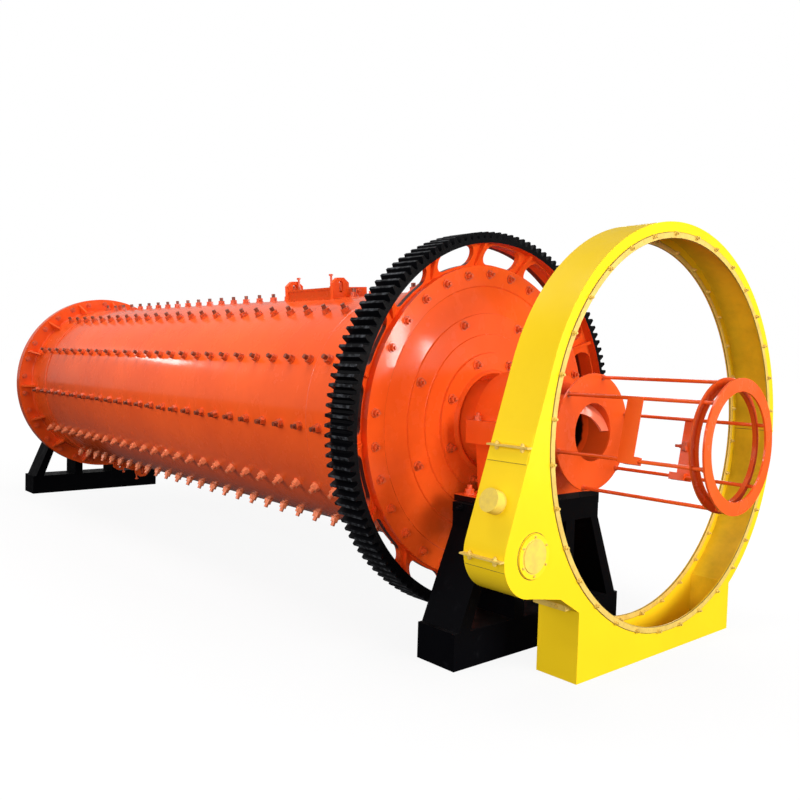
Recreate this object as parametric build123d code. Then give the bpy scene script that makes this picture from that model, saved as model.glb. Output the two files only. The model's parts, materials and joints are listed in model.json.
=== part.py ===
"""Ball mill: drum with ring gear on two trunnion bearings, a discharge cage and its loose gear guard.

Millimetres, +Z up. X runs along the mill, from the feed end to the discharge end. The origin is on the
floor under the discharge bearing. Every piece is written to parts/ as its own STEP file.
"""
import os
from math import acos, atan2, cos, degrees, hypot, radians, sin

from build123d import *

# Drum
SHELL_R = 935
SHELL_T = 20
SHELL_LENGTH = 6831
COLLAR_STEP = 8
FEED_COLLAR_LENGTH = 529
DISCHARGE_COLLAR_LENGTH = 792
FLANGE_WIDTH = 160
FLANGE_T = 45
GUSSET_COUNT = 15
GUSSET_START = 14.3
GUSSET_LENGTH = 183
GUSSET_TOE = 25
GUSSET_EDGE = 28
GUSSET_T = 20
SEAT_GAP = 0.3

# Heads
HEAD_T = 56
HEAD_FLANGE_WIDTH = 138
HEAD_GROOVE = 8
HEAD_STEP = 10
HEAD_STEP_WIDTH = 195
HEAD_STEP_EDGE = 4
HEAD_SETBACK = 408
FEED_HEAD_SETBACK = 309

# Ring gear
GEAR_MODULE = 20
GEAR_WIDTH = 235
GEAR_AHEAD_OF_WEB = 148
GEAR_FLOOR_GAP = 130
RIM_GAP = 150
RIM_T = 30
WEB_T = 40
WEB_DISH = 80
WEB_EDGE = 6
SPOKE_COUNT = 16
SPOKE_START = 6.3
SPOKE_WIDTH = 114
WINDOW_HUB_EDGE = 14
WINDOW_RIM_EDGE = 6
RIB_T = 24
RIB_HUB_HEIGHT = 14
RIB_RIM_HEIGHT = 44

# Trunnions
JOURNAL_R = 280
BORE_R = 200
LINER_T = 16
SPIGOT_STEP = 20
TRUNNION_FLANGE_WIDTH = 190
TRUNNION_FLANGE_T = 18
RIDGE_HEIGHT = 26
RIDGE_WIDTH = 12
RIDGE_GAP = 46
RIDGE_GROOVE = 38
COLLAR_HEIGHT = 32
COLLAR_WIDTH = 30
COLLAR_GAP = 15
SPOUT_T = 30
SPOUT_FLANGE_T = 30
SPOUT_FLANGE_WIDTH = 60
FLIGHT_HEIGHT = 74
FLIGHT_PITCH = 420
FLIGHT_TURNS = 1.7
FLIGHT_T = 14
FLIGHT_SETBACK = 8

# Bearings
RUNNING_GAP = 0.06
BEARING_LENGTH = 380
BEARING_HEIGHT = 485
CAP_T = 85
CAP_FLANGE_T = 40
SPLIT_REACH = 72
SPLIT_T = 110
HOUSING_T = 40
HOUSING_TAPER = 17
FOOT_REACH = 205
FOOT_T = 45

# Bearing stands
STAND_DEPTH = 326
STAND_HALF = 837
STAND_BASE_H = 228
TOP_PLATE_T = 60
TOP_PLATE_REACH = 4
BEAM_HEIGHT = 97
BEAM_HALF = 560
LEG_INSET = 34
LEG_WIDTH = 100
LEG_TAPER = 20
POST_Y = 252
POST_WIDTH = 96
STAND_T = 16
VENT_R = 20
VENT_Y = 420

# Discharge cage
DISC_AHEAD = 308
DISC_T = 12
DISC_EDGE = 16
ROD_COUNT = 6
ROD_START = 17
ROD_CIRCLE_R = 355
ROD_R = 11
CAGE_LENGTH = 949
RING_EDGE = 21
RING_T = 12
FRONT_RING_DEPTH = 73
REAR_RING_BACK = 77
REAR_RING_WIDTH = 45
REAR_RING_DEPTH = 58
REAR_RING_T = 10
STRAP_FROM_DISC = 478
STRAP_WIDTH = 100
STRAP_T = 8
STRAP_END = 22
STRAP_HEAD = 4
CLAMP_SHIFT = 30
CLAMP_DEPTH = 12

# Manholes
MANHOLE_LENGTH = 630
MANHOLE_WIDTH = 330
NECK_HEIGHT = 64
NECK_T = 20
NECK_BASE_EDGE = 12
NECK_BASE_HEIGHT = 8
COVER_T = 18
YOKE_T = 40
YOKE_HALF = 177
YOKE_INNER = 12
YOKE_SHOULDER = 118
YOKE_HEIGHT = 160
YOKE_CORNER = 50
YOKE_SLOT_WIDTH = 44
YOKE_SLOT_HEIGHT = 96
YOKE_SLOT_RISE = 86
TOP_MANHOLE_FROM_GEAR = 1781
LOW_MANHOLE_FROM_FEED = 885
BOLT_ROW_ANGLE = 94.8

# Gear guard
GUARD_AHEAD = 244
GUARD_WIDTH = 301
GUARD_T = 10
GUARD_Y = 580
GUARD_R = 1365
GUARD_DEPTH = 103
GUARD_FLOOR_GAP = 75
GUARD_SPLIT_DROP = 28
GUARD_BASE_REACH = 795
LOBE_OUT = 174
LOBE_ANGLE = 203.83
LOBE_R = 236
LOBE_END = 267
LOBE_SPLIT_DROP = 3
KINK_Y = 256
KINK_DROP = 283
NOTCH_Y = 435
NOTCH_DROP = 391
LIP_WIDTH = 34
LIP_T = 6
SPLIT_EDGE = 36
SPLIT_EDGE_T = 5
SPLIT_STRIP = 9
COVER_R = 125
COVER_BOSS_R = 92
COVER_PLATE_T = 10
COVER_BOSS_T = 16
PORT_R = 67
PORT_LENGTH = 72
PORT_FROM_REAR = 158
PORT_ABOVE_LOBE = 287

# Places along the mill
HEAD_FRONT = -HEAD_SETBACK
WEB_FRONT = HEAD_FRONT - HEAD_T
SHELL_END = WEB_FRONT - WEB_T
SHELL_START = SHELL_END - SHELL_LENGTH
FEED_HEAD_FRONT = SHELL_START - HEAD_T
FEED_BEARING_X = FEED_HEAD_FRONT - FEED_HEAD_SETBACK
GEAR_FRONT = WEB_FRONT + GEAR_AHEAD_OF_WEB
TOP_MANHOLE_X = SHELL_END - TOP_MANHOLE_FROM_GEAR
LOW_MANHOLE_X = SHELL_START + LOW_MANHOLE_FROM_FEED
DISC_X = BEARING_LENGTH / 2 + DISC_AHEAD
FRONT_RING_X = DISC_X + CAGE_LENGTH
REAR_RING_X = FRONT_RING_X - REAR_RING_BACK
STRAP_X = DISC_X + STRAP_FROM_DISC
GUARD_REAR = BEARING_LENGTH / 2 + GUARD_AHEAD
GUARD_FRONT = GUARD_REAR + GUARD_WIDTH

# Radii
SHELL_IN_R = SHELL_R - SHELL_T
SHELL_COLLAR_R = SHELL_R + COLLAR_STEP
FLANGE_R = SHELL_R + FLANGE_WIDTH
RIM_R = FLANGE_R + RIM_GAP
GEAR_TEETH = round(2 * (RIM_R + RIM_T) / GEAR_MODULE + 2.5)
TIP_R = GEAR_MODULE * (GEAR_TEETH + 2) / 2
ROOT_R = GEAR_MODULE * (GEAR_TEETH - 2.5) / 2
SPIGOT_R = JOURNAL_R + SPIGOT_STEP
TRUNNION_FLANGE_R = SPIGOT_R + TRUNNION_FLANGE_WIDTH
LINER_R = BORE_R - LINER_T
CAGE_R = ROD_CIRCLE_R + RING_EDGE
CAP_R = JOURNAL_R + CAP_T
GUARD_IN_R = GUARD_R - GUARD_DEPTH

# Heights
AXIS_Z = TIP_R + GEAR_FLOOR_GAP
FOOT_Z = AXIS_Z - BEARING_HEIGHT
TOP_PLATE_Z = FOOT_Z - TOP_PLATE_T
BEAM_Z = TOP_PLATE_Z - BEAM_HEIGHT
GUARD_Z = GUARD_R + GUARD_FLOOR_GAP
GUARD_SPLIT_Z = GUARD_Z - GUARD_SPLIT_DROP
LOBE_Y = GUARD_Y + (GUARD_R + LOBE_OUT) * cos(radians(LOBE_ANGLE))
LOBE_Z = GUARD_Z + (GUARD_R + LOBE_OUT) * sin(radians(LOBE_ANGLE))


def on_axis(shape, angle=90):
    """Place a shape built about the X axis on the mill axis, its top turned to the angle from +Y."""
    return Pos(0, 0, AXIS_Z) * Rot(angle - 90, 0, 0) * shape


def turned(*profile):
    """Solid of revolution about the X axis from (x, radius) corners."""
    face = make_face(Polyline(*[(x, 0, r) for x, r in profile], close=True))
    return revolve(face, Axis.X, 360)


def ring(x0, x1, r_out, r_in):
    """Plain ring about the X axis."""
    return turned((x0, r_in), (x1, r_in), (x1, r_out), (x0, r_out))


def outline(*corners):
    """Face with straight sides through the corners."""
    return make_face(Polyline(*corners, close=True))


def along_x(sketch, x0, x1):
    """Extrude a sketch drawn in (y, z) from x0 to x1."""
    return extrude(Pos(x0, 0, 0) * (Plane.YZ * sketch), amount=x1 - x0)


def across(sketch, thickness):
    """Extrude a sketch drawn in (x, z) to both sides of the middle plane."""
    return extrude(Plane.XZ * sketch, amount=thickness / 2, both=True)


def block(x0, x1, y0, y1, z0, z1):
    """Box between two corners."""
    return Pos((x0 + x1) / 2, (y0 + y1) / 2, (z0 + z1) / 2) * Box(x1 - x0, y1 - y0, z1 - z0)


def centred_block(x, length, width, z0, z1):
    """Box on the middle plane, centred on x."""
    return block(x - length / 2, x + length / 2, -width / 2, width / 2, z0, z1)


def polar(radius, angle):
    """Point (y, z) at a radius and an angle from +Y."""
    return radius * cos(radians(angle)), radius * sin(radians(angle))


# Drum shell, flanges and heads
def make_shell():
    """Rolled shell with a thicker course at each end."""
    feed_step = SHELL_START + FEED_COLLAR_LENGTH
    discharge_step = SHELL_END - DISCHARGE_COLLAR_LENGTH
    return on_axis(turned(
        (SHELL_START, SHELL_IN_R),
        (SHELL_END, SHELL_IN_R),
        (SHELL_END, SHELL_COLLAR_R),
        (discharge_step, SHELL_COLLAR_R),
        (discharge_step, SHELL_R),
        (feed_step, SHELL_R),
        (feed_step, SHELL_COLLAR_R),
        (SHELL_START, SHELL_COLLAR_R),
    ))


def make_feed_flange():
    """Feed-end shell flange with its ring of gussets."""
    face = SHELL_START + FLANGE_T
    flange = ring(SHELL_START, face, FLANGE_R, SHELL_COLLAR_R)
    foot_r = SHELL_COLLAR_R + SEAT_GAP
    gusset = across(outline(
        (face - FLANGE_T / 2, foot_r),
        (face + GUSSET_LENGTH, foot_r),
        (face + GUSSET_LENGTH, foot_r + GUSSET_TOE),
        (face + GUSSET_TOE, FLANGE_R - GUSSET_EDGE),
        (face - FLANGE_T / 2, FLANGE_R - GUSSET_EDGE),
    ), GUSSET_T)
    for step in range(GUSSET_COUNT):
        flange += Rot(GUSSET_START - 90 + step * 360 / GUSSET_COUNT, 0, 0) * gusset
    return on_axis(flange)


def make_discharge_flange():
    """Shell flange behind the gear web."""
    return on_axis(ring(SHELL_END - FLANGE_T, SHELL_END, FLANGE_R, SHELL_COLLAR_R))


def make_head(back, way):
    """Stepped end cover from its flat back, with its face looking along way."""
    def corner(height, radius):
        return back + way * height, radius

    rim = FLANGE_R - HEAD_FLANGE_WIDTH
    step = rim - HEAD_STEP_WIDTH
    boss = step - HEAD_STEP_WIDTH * 3 / 4
    return on_axis(turned(
        corner(0, SPIGOT_R),
        corner(0, FLANGE_R),
        corner(HEAD_T, FLANGE_R),
        corner(HEAD_T, rim),
        corner(HEAD_T - HEAD_GROOVE, rim - HEAD_GROOVE),
        corner(HEAD_T, step + HEAD_STEP_EDGE),
        corner(HEAD_T + HEAD_STEP, step),
        corner(HEAD_T + HEAD_STEP, boss + HEAD_STEP_EDGE),
        corner(HEAD_T + 2 * HEAD_STEP, boss),
        corner(HEAD_T + 2 * HEAD_STEP, SPIGOT_R),
    ))


# Trunnions
def make_discharge_trunnion():
    """Hollow trunnion: flange on the head, ridge, journal, collar and spout with its end flange."""
    seat = HEAD_FRONT + 2 * HEAD_STEP
    face = seat + TRUNNION_FLANGE_T
    ridge = face + RIDGE_HEIGHT
    half = BEARING_LENGTH / 2
    ridge_r = SPIGOT_R + RIDGE_GAP
    spout_r = BORE_R + SPOUT_T
    spout_end = DISC_X - DISC_T
    return on_axis(turned(
        (WEB_FRONT, BORE_R),
        (WEB_FRONT, SPIGOT_R),
        (seat, SPIGOT_R),
        (seat, TRUNNION_FLANGE_R),
        (face, TRUNNION_FLANGE_R - HEAD_STEP_EDGE),
        (face, ridge_r + 2 * RIDGE_WIDTH),
        (ridge, ridge_r + RIDGE_WIDTH),
        (ridge, ridge_r),
        (ridge - RIDGE_GROOVE, SPIGOT_R + RIDGE_WIDTH),
        (-half - COLLAR_GAP - COLLAR_WIDTH, SPIGOT_R),
        (-half - COLLAR_GAP, JOURNAL_R),
        (half + COLLAR_GAP, JOURNAL_R),
        (half + COLLAR_GAP, JOURNAL_R + COLLAR_HEIGHT),
        (half + COLLAR_GAP + COLLAR_WIDTH, JOURNAL_R + COLLAR_HEIGHT),
        (half + COLLAR_GAP + COLLAR_WIDTH, spout_r),
        (spout_end - SPOUT_FLANGE_T, spout_r),
        (spout_end - SPOUT_FLANGE_T, spout_r + SPOUT_FLANGE_WIDTH),
        (spout_end, spout_r + SPOUT_FLANGE_WIDTH),
        (spout_end, BORE_R),
    ))


def make_feed_trunnion():
    """Hollow trunnion of the feed end, open to the feeder."""
    seat = FEED_HEAD_FRONT - 2 * HEAD_STEP
    face = seat - TRUNNION_FLANGE_T
    ridge = face - RIDGE_HEIGHT
    half = BEARING_LENGTH / 2
    ridge_r = SPIGOT_R + RIDGE_GAP
    end = FEED_BEARING_X - half - COLLAR_GAP
    return on_axis(turned(
        (SHELL_START, BORE_R),
        (SHELL_START, SPIGOT_R),
        (seat, SPIGOT_R),
        (seat, TRUNNION_FLANGE_R),
        (face, TRUNNION_FLANGE_R - HEAD_STEP_EDGE),
        (face, ridge_r + 2 * RIDGE_WIDTH),
        (ridge, ridge_r + RIDGE_WIDTH),
        (ridge, SPIGOT_R),
        (FEED_BEARING_X + half + COLLAR_GAP, JOURNAL_R),
        (end, JOURNAL_R),
        (end, JOURNAL_R + COLLAR_HEIGHT),
        (end - COLLAR_WIDTH, JOURNAL_R + COLLAR_HEIGHT),
        (end - COLLAR_WIDTH, BORE_R),
    ))


def make_liner():
    """Sleeve inside the discharge trunnion."""
    return on_axis(ring(WEB_FRONT, DISC_X - DISC_T, BORE_R, LINER_R))


def make_flight():
    """Left-handed spiral blade in the sleeve that screws coarse pieces back into the mill."""
    outer_r = LINER_R - SEAT_GAP
    path = Helix(FLIGHT_PITCH, FLIGHT_PITCH * FLIGHT_TURNS, outer_r - FLIGHT_HEIGHT / 2, lefthand=True)
    section = Plane(origin=path @ 0, x_dir=(1, 0, 0), z_dir=path % 0)
    flight = sweep(section * Rectangle(FLIGHT_HEIGHT, FLIGHT_T), path, is_frenet=True)
    return on_axis(Pos(DISC_X - DISC_T - FLIGHT_SETBACK, 0, 0) * Rot(0, -90, 0) * flight, 0)


# Ring gear
def make_gear_rim():
    """Toothed rim with straight-sided teeth."""
    corners = []
    pitch = 360 / GEAR_TEETH
    for tooth in range(GEAR_TEETH):
        middle = tooth * pitch
        corners += [
            polar(ROOT_R, middle - 0.36 * pitch),
            polar(TIP_R, middle - 0.14 * pitch),
            polar(TIP_R, middle + 0.14 * pitch),
            polar(ROOT_R, middle + 0.36 * pitch),
        ]
    section = outline(*corners) - Circle(RIM_R)
    return on_axis(along_x(section, GEAR_FRONT - GEAR_WIDTH, GEAR_FRONT))


def make_gear_web():
    """Dished web of the gear with a window between each pair of spokes and a rib on each spoke."""
    hub_r = FLANGE_R + WEB_EDGE
    web = turned(
        (SHELL_END, SHELL_COLLAR_R),
        (SHELL_END, hub_r),
        (SHELL_END + WEB_DISH, RIM_R),
        (WEB_FRONT + WEB_DISH, RIM_R),
        (WEB_FRONT, hub_r),
        (WEB_FRONT, SHELL_COLLAR_R),
    )
    pitch = 360 / SPOKE_COUNT
    height = RIM_GAP - WINDOW_HUB_EDGE - WINDOW_RIM_EDGE
    middle_r = FLANGE_R + WINDOW_HUB_EDGE + height / 2
    sweep_angle = pitch - degrees((SPOKE_WIDTH + height) / middle_r)
    arc = CenterArc((0, 0), middle_r, 90 - sweep_angle / 2, sweep_angle)
    window = along_x(SlotArc(arc, height), SHELL_END - WEB_T, WEB_FRONT + WEB_DISH + WEB_T)
    rib_r = RIM_R - SEAT_GAP
    rib = across(outline(
        (WEB_FRONT - WEB_T / 2, hub_r),
        (WEB_FRONT + RIB_HUB_HEIGHT, hub_r),
        (WEB_FRONT + WEB_DISH + RIB_RIM_HEIGHT, rib_r),
        (WEB_FRONT + WEB_DISH - WEB_T / 2, rib_r),
    ), RIB_T)
    for spoke in range(SPOKE_COUNT):
        angle = SPOKE_START + spoke * pitch - 90
        web -= Rot(angle + pitch / 2, 0, 0) * window
        web += Rot(angle, 0, 0) * rib
    return on_axis(web)


# Manholes
def on_shell(shape, x):
    """Cut the underside of a shape to the curve of the shell."""
    return shape - turned((x - SHELL_R, 0), (x + SHELL_R, 0), (x + SHELL_R, SHELL_R), (x - SHELL_R, SHELL_R))


def make_manhole_neck(x, angle):
    """Rectangular neck standing on the shell, with a welded foot strip."""
    top = SHELL_R + NECK_HEIGHT
    neck = centred_block(x, MANHOLE_LENGTH, MANHOLE_WIDTH, 0, top)
    neck += centred_block(x, MANHOLE_LENGTH, MANHOLE_WIDTH + 2 * NECK_BASE_EDGE, 0, SHELL_R + NECK_BASE_HEIGHT)
    neck -= centred_block(x, MANHOLE_LENGTH - 2 * NECK_T, MANHOLE_WIDTH - 2 * NECK_T, 0, top)
    return on_axis(on_shell(neck, x), angle)


def make_manhole_cover(x, angle):
    """Flat cover on the neck, between the yokes."""
    top = SHELL_R + NECK_HEIGHT
    cover = centred_block(x, MANHOLE_LENGTH, MANHOLE_WIDTH + 2 * NECK_BASE_EDGE, top, top + COVER_T)
    return on_axis(cover, angle)


def make_manhole_yokes(x, angle, way):
    """End plates of the manhole, each with a tall slotted clamp horn on its near half."""
    low = SHELL_R + NECK_HEIGHT + COVER_T
    shoulder = SHELL_R + YOKE_SHOULDER
    top = SHELL_R + YOKE_HEIGHT
    near = -way * YOKE_HALF
    middle = -way * YOKE_INNER
    corner = way * YOKE_CORNER
    points = [(near, 0), (-near, 0), (-near, low), (middle, low), (middle, shoulder), (middle - corner, top),
              (near + corner, top), (near, shoulder)]
    face = outline(*points[::way])
    slot = SlotOverall(YOKE_SLOT_HEIGHT, YOKE_SLOT_WIDTH, rotation=90)
    face -= Pos((near + middle) / 2, SHELL_R + YOKE_SLOT_RISE) * slot
    inner = MANHOLE_LENGTH / 2
    pair = along_x(face, x - inner - YOKE_T, x - inner) + along_x(face, x + inner, x + inner + YOKE_T)
    return on_axis(on_shell(pair, x), angle)


# Discharge cage
def make_rods():
    """Rods of the cage, from the disc to the front ring."""
    rods = Part()
    for step in range(ROD_COUNT):
        y, z = polar(ROD_CIRCLE_R, ROD_START + step * 360 / ROD_COUNT)
        rods += along_x(Pos(y, z) * Circle(ROD_R), DISC_X, FRONT_RING_X)
    return on_axis(rods)


def make_disc():
    """Disc on the spout that carries the cage."""
    return on_axis(ring(DISC_X - DISC_T, DISC_X, ROD_CIRCLE_R + DISC_EDGE, LINER_R))


def make_rear_ring(rods):
    """Angle-section ring threaded on the rods, its band on the inside."""
    inner_r = CAGE_R - REAR_RING_DEPTH
    hoop = turned(
        (REAR_RING_X, inner_r),
        (REAR_RING_X + REAR_RING_WIDTH, inner_r),
        (REAR_RING_X + REAR_RING_WIDTH, inner_r + REAR_RING_T),
        (REAR_RING_X + REAR_RING_T, inner_r + REAR_RING_T),
        (REAR_RING_X + REAR_RING_T, CAGE_R),
        (REAR_RING_X, CAGE_R),
    )
    return on_axis(hoop) - rods


def make_front_ring():
    """Flat ring at the open end of the cage."""
    return on_axis(ring(FRONT_RING_X, FRONT_RING_X + RING_T, CAGE_R, CAGE_R - FRONT_RING_DEPTH))


def make_strap(first_rod, rods, way):
    """Flat strap on the outside of two neighbouring rods, hung on the upper one and clamped to the lower one."""
    half_pitch = 180 / ROD_COUNT
    chord_r = ROD_CIRCLE_R * cos(radians(half_pitch))
    reach = ROD_CIRCLE_R * sin(radians(half_pitch))
    foot = reach + STRAP_END
    shift = way * CLAMP_SHIFT
    x0 = STRAP_X - STRAP_WIDTH / 2
    x1 = STRAP_X + STRAP_WIDTH / 2
    top = chord_r + ROD_R + SEAT_GAP + STRAP_T
    low, high = sorted((-way * foot, way * (reach + STRAP_HEAD)))
    strap = block(x0, x1, low, high, top - STRAP_T, top)
    low, high = sorted((-way * foot, way * (2 * STRAP_END - foot)))
    strap += block(x0 + shift, x1 + shift, low, high, chord_r - ROD_R - CLAMP_DEPTH, top)
    return on_axis(strap, ROD_START + first_rod * 2 * half_pitch + half_pitch) - rods


# Bearings and stands
def make_bearing_base(x):
    """Lower housing with a bolting foot and a split flange, bored for the journal."""
    foot = JOURNAL_R + HOUSING_T + FOOT_REACH
    top = FOOT_Z + FOOT_T
    waist = JOURNAL_R + HOUSING_T - HOUSING_TAPER
    shoulder = JOURNAL_R + HOUSING_T + HOUSING_TAPER
    split = CAP_R + SPLIT_REACH
    under = AXIS_Z - SPLIT_T
    right = [(foot, FOOT_Z), (foot, top), (waist, top), (shoulder, under), (split, under), (split, AXIS_Z)]
    left = [(-y, z) for y, z in reversed(right)]
    section = outline(*right, *left) - Pos(0, AXIS_Z) * Circle(JOURNAL_R + RUNNING_GAP)
    return along_x(section, x - BEARING_LENGTH / 2, x + BEARING_LENGTH / 2)


def make_bearing_cap(x):
    """Round cap with its split flange."""
    split = CAP_R + SPLIT_REACH
    section = Circle(CAP_R) + Pos(0, CAP_FLANGE_T / 2) * Rectangle(2 * split, CAP_FLANGE_T)
    section -= Pos(0, -split) * Rectangle(4 * split, 2 * split)
    section -= Circle(JOURNAL_R + RUNNING_GAP)
    return along_x(Pos(0, AXIS_Z) * section, x - BEARING_LENGTH / 2, x + BEARING_LENGTH / 2)


def box_girder(x, half_y, z0, z1, vent_y):
    """Closed box girder across the mill with a vent hole in its underside."""
    girder = centred_block(x, STAND_DEPTH, 2 * half_y, z0, z1)
    girder -= centred_block(x, STAND_DEPTH - 2 * STAND_T, 2 * (half_y - STAND_T), z0 + STAND_T, z1 - STAND_T)
    return girder - Pos(x, vent_y, z0 + STAND_T / 2) * Cylinder(VENT_R, 2 * STAND_T)


def make_stand_base(x):
    """Base girder on the floor."""
    return box_girder(x, STAND_HALF, 0, STAND_BASE_H, VENT_Y)


def make_stand_top(x):
    """Cross girder and the machined top plate that carries the bearing."""
    top = box_girder(x, BEAM_HALF, BEAM_Z, TOP_PLATE_Z, 0)
    return top + centred_block(x, STAND_DEPTH, 2 * (BEAM_HALF + TOP_PLATE_REACH), TOP_PLATE_Z, FOOT_Z)


def make_stand_legs(x):
    """Pair of raking box legs."""
    foot = STAND_HALF - LEG_INSET
    foot_in = foot - LEG_WIDTH
    head_in = BEAM_HALF - LEG_WIDTH + LEG_TAPER
    outer = outline((foot, STAND_BASE_H), (BEAM_HALF, BEAM_Z), (head_in, BEAM_Z), (foot_in, STAND_BASE_H))
    inner = outline((foot - STAND_T, STAND_BASE_H), (BEAM_HALF - STAND_T, BEAM_Z), (head_in + STAND_T, BEAM_Z),
                    (foot_in + STAND_T, STAND_BASE_H))
    half_x = STAND_DEPTH / 2
    leg = along_x(outer, x - half_x, x + half_x)
    leg -= along_x(inner, x - half_x + STAND_T, x + half_x - STAND_T)
    return leg + mirror(leg, Plane.XZ)


def make_stand_posts(x):
    """Pair of upright box posts under the bearing."""
    tube = Rectangle(STAND_DEPTH, POST_WIDTH) - Rectangle(STAND_DEPTH - 2 * STAND_T, POST_WIDTH - 2 * STAND_T)
    post = Pos(x, POST_Y, STAND_BASE_H) * extrude(tube, amount=BEAM_Z - STAND_BASE_H)
    return post + mirror(post, Plane.XZ)


# Gear guard
def flank_angle():
    """Angle of the normal of the straight flank that runs from the ring to the lobe."""
    gap = hypot(LOBE_Y - GUARD_Y, LOBE_Z - GUARD_Z)
    bearing = degrees(atan2(LOBE_Z - GUARD_Z, LOBE_Y - GUARD_Y)) + 360
    return bearing - degrees(acos((GUARD_R - LOBE_R) / gap))


def on_ring(angle, inset=0):
    """Point on the guard's outer circle."""
    y, z = polar(GUARD_R - inset, angle)
    return GUARD_Y + y, GUARD_Z + z


def on_lobe(angle, inset=0):
    """Point on the outline of the pinion lobe."""
    y, z = polar(LOBE_R - inset, angle)
    return LOBE_Y + y, LOBE_Z + z


def flank_y(z):
    """Place of the straight flank at a height."""
    top_y, top_z = on_ring(flank_angle())
    low_y, low_z = on_lobe(flank_angle())
    return low_y + (top_y - low_y) * (z - low_z) / (top_z - low_z)


def guard_face(inset):
    """Outline of the guard, drawn in by the inset: ring, straight flank, pinion lobe and base."""
    tangent = flank_angle()
    right = GUARD_Y + GUARD_BASE_REACH - inset
    left = LOBE_Y + NOTCH_Y + inset
    corner = -degrees(acos((right - GUARD_Y) / (GUARD_R - inset)))
    edges = [
        ThreePointArc(on_ring(corner, inset), on_ring((corner + tangent) / 2, inset), on_ring(tangent, inset)),
        Line(on_ring(tangent, inset), on_lobe(tangent, inset)),
        ThreePointArc(on_lobe(tangent, inset), on_lobe((tangent + LOBE_END) / 2, inset), on_lobe(LOBE_END, inset)),
        Polyline(on_lobe(LOBE_END, inset), (LOBE_Y + KINK_Y, LOBE_Z - KINK_DROP + inset),
                 (left, LOBE_Z - NOTCH_DROP + inset), (left, inset), (right, inset), on_ring(corner, inset)),
    ]
    return make_face(edges)


def half_of(shape, upper):
    """Part of a guard piece above or below the horizontal split."""
    reach = 4 * GUARD_R
    low, high = (GUARD_SPLIT_Z, reach) if upper else (-reach, GUARD_SPLIT_Z)
    return shape & block(GUARD_REAR - reach, GUARD_FRONT + reach, -reach, reach, low, high)


def make_guard_plate(x0, upper):
    """Half of one side plate."""
    face = guard_face(0) - Pos(GUARD_Y, GUARD_Z) * Circle(GUARD_IN_R)
    return half_of(along_x(face, x0, x0 + GUARD_T), upper)


def make_guard_wall(upper):
    """Half of the strip between the side plates."""
    strip = guard_face(0) - guard_face(GUARD_T)
    return half_of(along_x(strip, GUARD_REAR + GUARD_T, GUARD_FRONT - GUARD_T), upper)


def make_guard_lip(x0):
    """Flat seal ring along the inner edge of one side plate."""
    strip = Circle(GUARD_IN_R + LIP_WIDTH) - Circle(GUARD_IN_R)
    return along_x(Pos(GUARD_Y, GUARD_Z) * strip, x0, x0 + LIP_T)


def make_split_flanges(y, reach, z):
    """Pair of bolting flanges on the outside of the wall, one each side of the split."""
    pair = block(GUARD_REAR, GUARD_FRONT, y - reach, y + reach, z - SPLIT_EDGE_T, z + SPLIT_EDGE_T)
    return pair - along_x(guard_face(0), GUARD_REAR, GUARD_FRONT)


def make_pinion_cover():
    """Round cover over the pinion shaft hole."""
    plate = along_x(Pos(LOBE_Y, LOBE_Z) * Circle(COVER_R), GUARD_FRONT, GUARD_FRONT + COVER_PLATE_T)
    return plate + along_x(Pos(LOBE_Y, LOBE_Z) * Circle(COVER_BOSS_R), GUARD_FRONT, GUARD_FRONT + COVER_BOSS_T)


def make_port():
    """Short capped inspection port on the straight flank."""
    z = LOBE_Z + PORT_ABOVE_LOBE
    out_y, out_z = polar(1, flank_angle())
    flank = Plane(origin=(GUARD_REAR + PORT_FROM_REAR, flank_y(z), z), x_dir=(1, 0, 0), z_dir=(0, out_y, out_z))
    return flank * extrude(Circle(PORT_R), amount=PORT_LENGTH)


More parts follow.
